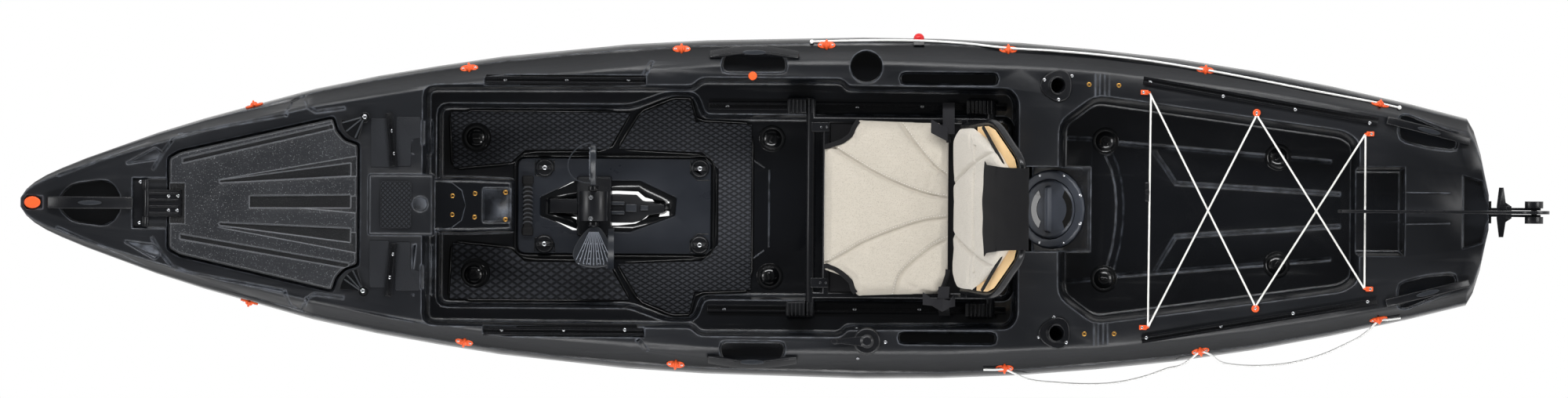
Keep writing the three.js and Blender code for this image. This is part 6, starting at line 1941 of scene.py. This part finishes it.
@dataclass
class Seat(Maker):
    """The seat: frame, simulated cushion with fanned seams, sling, leaning back and its cover."""

    hinge: tuple = (0.4808, 0.0, 0.3606)
    lean: float = math.radians(23)
    voxel: float = 0.005
    pressure: float = 4.0
    frames: int = 20
    stitch_off: float = 0.0062
    stitch_step: float = 0.0075
    binding_level: float = 0.291
    hoop: tuple = ((0.2223, 0.0), (0.2235, 0.06), (0.2290, 0.13), (0.2310, 0.185), (0.2200, 0.232),
                   (0.1700, 0.318), (0.1420, 0.365), (0.1180, 0.386), (0.0800, 0.3885))
    lining: tuple = ((0.110, 0.378), (0.134, 0.364), (0.160, 0.322), (0.212, 0.234), (0.222, 0.190),
                     (0.220, 0.12), (0.110, 0.12))
    piping: tuple = (0.112, 0.128, 0.15, 0.175, 0.20, 0.218)
    seams: tuple = (
        ((1065, 189), (1092, 206), (1120, 222), (1160, 240), (1185, 248), (1213, 253)),
        ((1147, 156), (1165, 180), (1188, 208), (1213, 229)),
        ((1052, 337), (1080, 322), (1100, 310), (1150, 290), (1180, 281), (1213, 277)),
        ((1141, 379), (1150, 350), (1175, 325), (1195, 311), (1214, 303)),
    )
    cuts: tuple = (
        ((1045, 184), (1062, 183), (1077, 175), (1087, 162), (1091, 147)),
        ((1043, 338), (1062, 341), (1076, 351), (1084, 364), (1086, 380)),
        ((1214, 344), (1208, 352), (1204, 364), (1203, 379)),
        ((1205, 157), (1207, 168), (1213, 182)),
    )

    def swell(self, piece: Piece, cap: float) -> None:
        """Remeshes a pad evenly and stuffs it by cloth pressure, with each point's travel capped.

        Args:
            piece: the pad.
            cap: the farthest that a point may move, in metres.
        """
        Bench.modify(piece, "REMESH", mode="VOXEL", voxel_size=self.voxel)
        cloth = piece.modifiers.new("stuffing", "CLOTH")
        cloth.settings.use_pressure, cloth.settings.uniform_pressure_force = True, self.pressure
        cloth.settings.effector_weights.gravity = 0.0
        cloth.point_cache.frame_end = self.frames + 1
        for number in range(1, self.frames + 1):
            bpy.context.scene.frame_set(number)
        swollen = piece.evaluated_get(bpy.context.evaluated_depsgraph_get()).to_mesh()
        moved = [v.co.copy() for v in swollen.vertices]
        bpy.context.scene.frame_set(1)
        piece.modifiers.remove(cloth)
        for corner, goal in zip(piece.data.vertices, moved):
            step = goal - corner.co
            corner.co += step * min(1.0, cap / max(step.length, 1e-9))
        Bench.modify(piece, "SUBSURF", levels=1, render_levels=1)
        bpy.ops.object.shade_smooth()

    def copied(self, node: str, name: str) -> Piece:
        """A merged copy of a packed pad to start from.

        Args:
            node: the pad's node.
            name: the copy's name.
        Returns:
            the copy.
        """
        copy = Bench.twin(frame["nodes"][node], name)
        Bench.edit(copy)
        return Bench.close(copy, False)

    @staticmethod
    def groove(distance: float, depth: float, width: float) -> float:
        """How deep a sewn channel is at a distance from its seam."""
        return depth * math.exp(-((distance / width) ** 2))

    @staticmethod
    def nearest(point: tuple, lines: list) -> float:
        """The distance in plan from a point to the nearest of several broken lines.

        Args:
            point: x and y, in metres.
            lines: the lines.
        Returns:
            metres, at most 1.
        """
        best = 1.0
        for line in lines:
            for (ax, ay), (bx, by) in zip(line, line[1:]):
                dx, dy = bx - ax, by - ay
                t = ((point[0] - ax) * dx + (point[1] - ay) * dy) / (dx * dx + dy * dy)
                t = max(0.0, min(1.0, t))
                best = min(best, math.hypot(point[0] - ax - t * dx, point[1] - ay - t * dy))
        return best

    def cushion(self) -> None:
        """The seat cushion: stuffed, with four sewn channels that fan out from the back."""
        pad = self.copied("seat_cushion", "seat_cushion_stuffed")
        low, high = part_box("seat_cushion")
        middle = (low + high) / 2
        for corner in pad.data.vertices:
            corner.co.x = middle.x + (corner.co.x - middle.x) * 0.982
            corner.co.y = middle.y + (corner.co.y - middle.y) * 0.985
            corner.co.z = low.z + 0.003 + (corner.co.z - low.z) * 0.80
        self.swell(pad, 0.008)
        lines = [[self.spot(*p) for p in smooth_pixels(line)] for line in self.seams]
        for corner in pad.data.vertices:
            x, y, z = corner.co
            share = max(0.0, min(1.0, (z - low.z - 0.012) / 0.02))
            gap = self.nearest((x, y), lines)
            puff = 0.004 * (1 - math.exp(-((gap / 0.03) ** 2)))
            corner.co.z = z + share * (puff - 0.002 - self.groove(gap, 0.009, 0.0055))
            corner.co.z = max(corner.co.z, low.z + 0.0005)
        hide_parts("seat_cushion")
        self.give(pad, Finish.BEIGE, "seat", "beige_mesh")
        self.stitches(pad, lines)
        self.binding(pad)

    def stitches(self, pad: Piece, lines: list) -> None:
        """Thread stitches laid beside the cushion's channels.

        Args:
            pad: the cushion.
            lines: the channels' seams.
        """
        tree = tree_of(pad.data)
        stitch = Bench.block("stitch", (0.0042, 0.0011, 0.0009), 0.0004, 1)
        places = []
        for line in lines:
            travelled = 0.0
            for (ax, ay), (bx, by) in zip(line, line[1:]):
                run = math.hypot(bx - ax, by - ay)
                while travelled < run:
                    t = travelled / run
                    x, y = ax + (bx - ax) * t, ay + (by - ay) * t
                    turn = math.atan2(by - ay, bx - ax)
                    px, py = x - math.sin(turn) * self.stitch_off, y + math.cos(turn) * self.stitch_off
                    place, normal, _, _ = tree.ray_cast(Vector((px, py, 1.0)), -UP)
                    if place is not None and place.z > 0.28:
                        places.append(standing(place - normal * 0.0003, normal, turn))
                    travelled += self.stitch_step
                travelled -= run
        self.many("cushion_stitches", stitch, places, Finish.THREAD, "seat", "beige_mesh")

    def binding(self, pad: Piece) -> None:
        """Black binding round the cushion's cut corners.

        Args:
            pad: the cushion.
        """
        tree = tree_of(pad.data)
        level = self.binding_level
        cords = []
        for k, line in enumerate(self.cuts):
            path = []
            for column, row in smooth_pixels(line, 5):
                x, y = self.spot(column, row)
                place, normal, _, _ = tree.find_nearest(Vector((x, y, level)))
                path.append(Vector((place.x + normal.x * 0.002, place.y + normal.y * 0.002, level)))
            cords.append(Bench.rod(f"binding_{k}", path, 0.0066))
        self.group("cushion_binding", cords, Finish.BINDING, "seat", "black_fabric")

    def sling(self) -> None:
        """The sling cloth between the frame's rails, under the cushion."""
        x0, x1, half, level = 0.115, 0.535, 0.2366, 0.2495
        Bench.clear()
        bpy.ops.mesh.primitive_grid_add(x_subdivisions=36, y_subdivisions=44, size=2)
        cloth = Bench.named("seat_sling")
        for corner in cloth.data.vertices:
            u, v = (corner.co.x + 1) / 2, corner.co.y
            pinch = 0.014 * math.sin(math.pi * u) * abs(v)
            x, y = x0 + (x1 - x0) * u, v * (half - pinch)
            wave = 0.0012 * math.sin(u * 40 + 3 * v)
            corner.co = (x, y, level - 0.006 * (1 - v * v) + wave * (1 - abs(v)))
        Bench.modify(cloth, "SOLIDIFY", thickness=0.0014, offset=0.0)
        Bench.soften(cloth, 0, 1, 0.8)
        self.give(cloth, Finish.FABRIC, "seat", "black_fabric")

    def frame_parts(self) -> None:
        """The seat's frame, clamps and back hoop, with their bolts."""
        self.dressed("seat_frame", Finish.ANODISED, 0.0015)
        out = shift(self.hinge) @ Matrix.Rotation(self.lean, 4, "Y")
        line = [(0, y, z) for y, z in self.hoop] + [(0, -y, z) for y, z in reversed(self.hoop)]
        hoop = Bench.rod("back_hoop", [out @ Vector(p) for p in eased(line, 5)], 0.0105, sides=5)
        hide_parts("seat_back_frame")
        self.give(hoop, Finish.ANODISED, "seat_back", "anodised_aluminium")
        self.linings(out)
        for side in Side:
            for end in ("front", "rear"):
                self.dressed(f"seat_clamp_{end}_{side.word}", Finish.BLACK, 0.0014)
        places, plates = [], []
        for row in (162, 361):
            x, y = self.spot(1046, row)
            level = self.ground.hit(self.spot(1034, row)[0], y, "seat_frame")[0].z - 0.001
            plates.append(Bench.settle(Bench.block("frame_bracket", (0.048, 0.026, 0.004), 0.0012),
                                       shift((x, y, level))))
            places += [shift((x + along, y, level + 0.0018)) for along in (0.002, 0.017)]
        self.group("frame_brackets", plates, Finish.BLACK, "seat")
        self.screws("seat_frame_bolts", places, 0.0045, "seat")
        self.combs()
        self.straps()

    def combs(self) -> None:
        """The ribs across the tops of the four slide clamps."""
        rib = Bench.block("clamp_rib", (0.0045, 0.036, 0.0065), 0.0012)
        places = []
        for side in Side:
            for end in ("front", "rear"):
                low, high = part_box(f"seat_clamp_{end}_{side.word}")
                middle = (low + high) / 2
                places += [shift((middle.x + (k - 3) * 0.0105, middle.y, high.z - 0.002)) for k in range(7)]
        self.many("clamp_ribs", rib, places, Finish.BLACK, "seat")

    def straps(self) -> None:
        """The webbing at the back's foot: a strap with a tail to starboard and a tied one to port."""
        runs = (
            ("strap_starboard", ((1209.5, 131), (1209.5, 150), (1209.5, 171)), (0.262, 0.300, 0.322),
             0.016, 0),
            ("strap_tail", ((1187, 161), (1198, 167), (1208, 172)), (0.322, 0.330, 0.326), 0.018, 1),
            ("strap_port", ((1205, 366), (1204, 385), (1206, 403)), (0.322, 0.300, 0.262), 0.015, 0),
            ("strap_bow_fore", ((1178, 381), (1190, 386), (1203, 390)), (0.306, 0.312, 0.304), 0.017, 1),
            ("strap_bow_aft", ((1203, 390), (1212, 388), (1219, 383)), (0.304, 0.312, 0.306), 0.017, 1),
        )
        for name, line, levels, half, across in runs:
            knots = [Vector((*self.spot(*pixel), level)) for pixel, level in zip(line, levels)]
            path = eased(knots)
            wide = Vector((0, half, 0)) if across else Vector((half, 0, 0))
            widths = [wide * (0.55 + 0.45 * abs(1 - 2 * k / (len(path) - 1))) if "bow" in name else wide
                      for k in range(len(path))]
            strap = Bench.ribbon(name, path, widths, 0.0018)
            self.give(strap, Finish.STRAP, "seat", "black_fabric")

    def linings(self, out: Matrix) -> None:
        """Tan linings between the hoop's slanting sides and the back pad, and the piping on the pad.

        Args:
            out: the leaning back's place.
        """
        made = []
        for side in Side:
            ring = [(z, side.value * y, 0.0) for y, z in self.lining]
            flat = ring if side is Side.STARBOARD else ring[::-1]
            lining = Bench.plate("back_lining", flat, 0.0022, 0.0006)
            lining.data.transform(out @ shift((-0.0115, 0, 0)) @ Matrix.Rotation(-math.pi / 2, 4, "Y"))
            made.append(lining)
        self.group("back_linings", made, Finish.TAN, "seat_back", "beige_mesh")
        cords = [Bench.rod("piping", [out @ Vector((-0.0240, side.value * y, self.cap(y) + 0.0015))
                                      for y in self.piping], 0.0045) for side in Side]
        self.group("back_piping", cords, Finish.BINDING, "seat_back", "black_fabric")

    @staticmethod
    def cap(y: float) -> float:
        """The height of the back pad's slanting upper corner at a distance out."""
        return min(0.384, 0.290 - (abs(y) - 0.139) * 1.39)

    def back(self) -> None:
        """The stuffed back pad with its quilting."""
        pad = self.copied("seat_back_pad", "seat_back_stuffed")
        out = shift(self.hinge) @ Matrix.Rotation(self.lean, 4, "Y")
        pad.data.transform(out.inverted())
        xs = [v.co.x for v in pad.data.vertices]
        rear = max(xs)
        for corner in pad.data.vertices:
            corner.co.x = rear - 0.003 + (corner.co.x - rear) * 0.78
            corner.co.y *= 0.985
            corner.co.z = 0.197 + (corner.co.z - 0.197) * 0.985
        self.swell(pad, 0.007)
        for corner in pad.data.vertices:
            over = max(0.0, corner.co.z - 0.10) / 0.287
            corner.co.z -= over * max(0.0, 0.387 - self.cap(corner.co.y))
        for corner in pad.data.vertices:
            x, y, z = corner.co
            front = max(0.0, min(1.0, (rear - 0.012 - x) / 0.014))
            bow = 0.095 + 0.30 * (z / 0.40) - 0.12 * (z / 0.40) ** 2
            gap = min(abs(abs(y) - bow * 0.62), abs(z - 0.165) + 0.02 * (abs(y) > 0.17))
            corner.co.x = x + front * (self.groove(gap, 0.007, 0.006) - 0.002)
            corner.co.x = min(corner.co.x, rear - 0.0004)
        pad.data.transform(out)
        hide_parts("seat_back_pad")
        self.give(pad, Finish.BACK, "seat_back", "beige_mesh")

    def cover(self) -> None:
        """The black cover that wraps the top of the back and its hoop."""
        profile = [(-0.0475, 0.238), (-0.0495, 0.285), (-0.0480, 0.330), (-0.0400, 0.372), (-0.0250, 0.398),
                   (-0.0050, 0.4080), (0.0080, 0.4060), (0.0135, 0.394), (0.0140, 0.350), (0.0135, 0.310),
                   (0.0135, 0.280)]
        smooth = eased([Vector((x, z, 0)) for x, z in profile], 4)
        rows = len(smooth) - 1

        def draped(row: int, v: float) -> tuple:
            """A corner of the cloth over the profile, with its hollow edge and its creases."""
            x, z, _ = smooth[row]
            t = row / rows
            half = 0.119 - 0.010 * math.sin(math.pi * t) + (0.008 if t < 0.02 else 0)
            dip = 0.012 * v * v if x < 0 and z < 0.33 else 0.0
            crease = 0.0012 * math.sin(9 * v + 14 * t) * (1 - v * v)
            return x - crease, v * half, z + dip

        cover = Bench.grid("back_cover", rows, 24, draped)
        Bench.modify(cover, "SOLIDIFY", thickness=0.0022, offset=1.0)
        Bench.edit(cover)
        Bench.close(cover)
        cover.data.transform(shift(self.hinge) @ Matrix.Rotation(self.lean, 4, "Y"))
        Bench.soften(cover, 0, 1, 0.8)
        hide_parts("lumbar_band")
        self.give(cover, Finish.FABRIC, "seat_back", "black_fabric")

    def build(self) -> None:
        """Makes the whole seat."""
        self.frame_parts()
        self.cushion()
        self.sling()
        self.back()
        self.cover()


def smooth_pixels(line: tuple, steps: int = 6) -> list:
    """A photograph line's pixels on one smooth path."""
    return [(p.x, p.y) for p in eased([Vector((a, b, 0)) for a, b in line], steps)]


@dataclass
class RearDeck(Maker):
    """The round hatch, the rod holders' screws, the steering control and the small knobs."""

    rod_screws: tuple = ((1331, 102), (1366, 97), (1349, 127), (1345, 405), (1326, 430), (1361, 437))
    steering_screws: tuple = ((1094, 419), (1130.5, 436.5), (1095.5, 457.5))
    orange_knob: tuple = (959, 97)
    red_ball: tuple = (1171, 49)
    ball_clip: tuple = (1171, 56)
    hatch_middle: tuple = (0.71935, 0.0)
    hatch_screw_ring: float = 0.0985
    hatch_lean: float = math.radians(33)

    def hatch(self) -> None:
        """The round hatch with its eight screws."""
        self.dressed("round_hatch_ring", Finish.HATCH, 0.0018)
        self.dressed("round_hatch_lid", Finish.HATCH, 0.0018)
        lean = math.cos(self.hatch_lean)
        made = []
        for sign in (1, -1):
            arc = [(0.066, a) for a in range(-52, 53, 8)] + [(0.047, a) for a in range(44, -45, -8)]
            spots = [(self.hatch_middle[0] + sign * r * math.cos(math.radians(a)) * lean,
                      sign * r * math.sin(math.radians(a))) for r, a in arc]
            outline = [self.ground.hit(x, y, "round_hatch_lid")[0] - UP * 0.0006 for x, y in spots]
            made.append(Bench.plate("lid_crescent", outline, 0.0016))
        self.group("lid_crescents", made, Finish.GLOSS, "round_hatch_lid")
        places = []
        for k in range(8):
            angle = 2 * math.pi * (k + 0.5) / 8
            x = self.hatch_middle[0] + self.hatch_screw_ring * lean * math.cos(angle)
            y = self.hatch_screw_ring * math.sin(angle)
            places.append(self.ground.seat(x, y, "round_hatch_ring", "hull"))
        self.screws("hatch_ring_screws", places, 0.0045)

    def knobs(self) -> None:
        """The orange retaining knob and the red ball of the rudder line."""
        knob = Bench.lathe("orange_knob", [(0, -0.001), (0.0075, -0.001), (0.0095, 0.002), (0.0118, 0.005),
                                           (0.0118, 0.011), (0.010, 0.0135), (0.004, 0.0142),
                                           (0, 0.0142)], 28)
        self.give(self.stand(knob, self.orange_knob), Finish.ORANGE, slot="orange_plastic")
        ball = Bench.lathe("rudder_line_ball", [
            (0, -0.002), (0.006, -0.002), (0.0105, 0.003), (0.0140, 0.009), (0.0145, 0.014), (0.012, 0.020),
            (0.007, 0.0245), (0, 0.026)])
        self.give(self.stand(ball, self.red_ball), Finish.RED, slot="orange_plastic")
        clip = Bench.block("ball_clip", (0.030, 0.012, 0.005), 0.0018)
        self.give(self.stand(clip, self.ball_clip, False), Finish.BLACK)

    def build(self) -> None:
        """Makes the rear deck's fittings."""
        self.hatch()
        rods = self.seats(self.rod_screws, "rod_holder_starboard", "rod_holder_port", "hull")
        self.screws("rod_holder_screws", rods, 0.0042)
        self.dressed("steering_base", Finish.BLACK, 0.002)
        self.dressed("steering_lever", Finish.BLACK, 0.0025)
        base = self.seats(self.steering_screws, "steering_base", "hull")
        self.screws("steering_screws", base, 0.0042)
        self.knobs()


@dataclass
class Rudder(Maker):
    """The rudder: bracket, yoke and blade."""

    def build(self) -> None:
        """Dresses the rudder."""
        for node, width in (("rudder_bracket", 0.0012), ("rudder_yoke", 0.0012), ("rudder_blade", 0.0008)):
            self.dressed(node, Finish.BLACK, width)


def main() -> None:
    """Builds the scene in order: camera and cords first, then the boat from bow to stern."""
    logging.basicConfig(level=logging.INFO, format="%(name)s: %(message)s")
    scale, ground = PhotoScale(), Ground()
    Studio().build()
    for maker in (Ropes, HullDressing, BowHatch, Console, Footwell, PedalDrive, Seat, RearDeck, Rudder):
        maker(scale, ground).build()


if __name__ == "__main__":
    main()
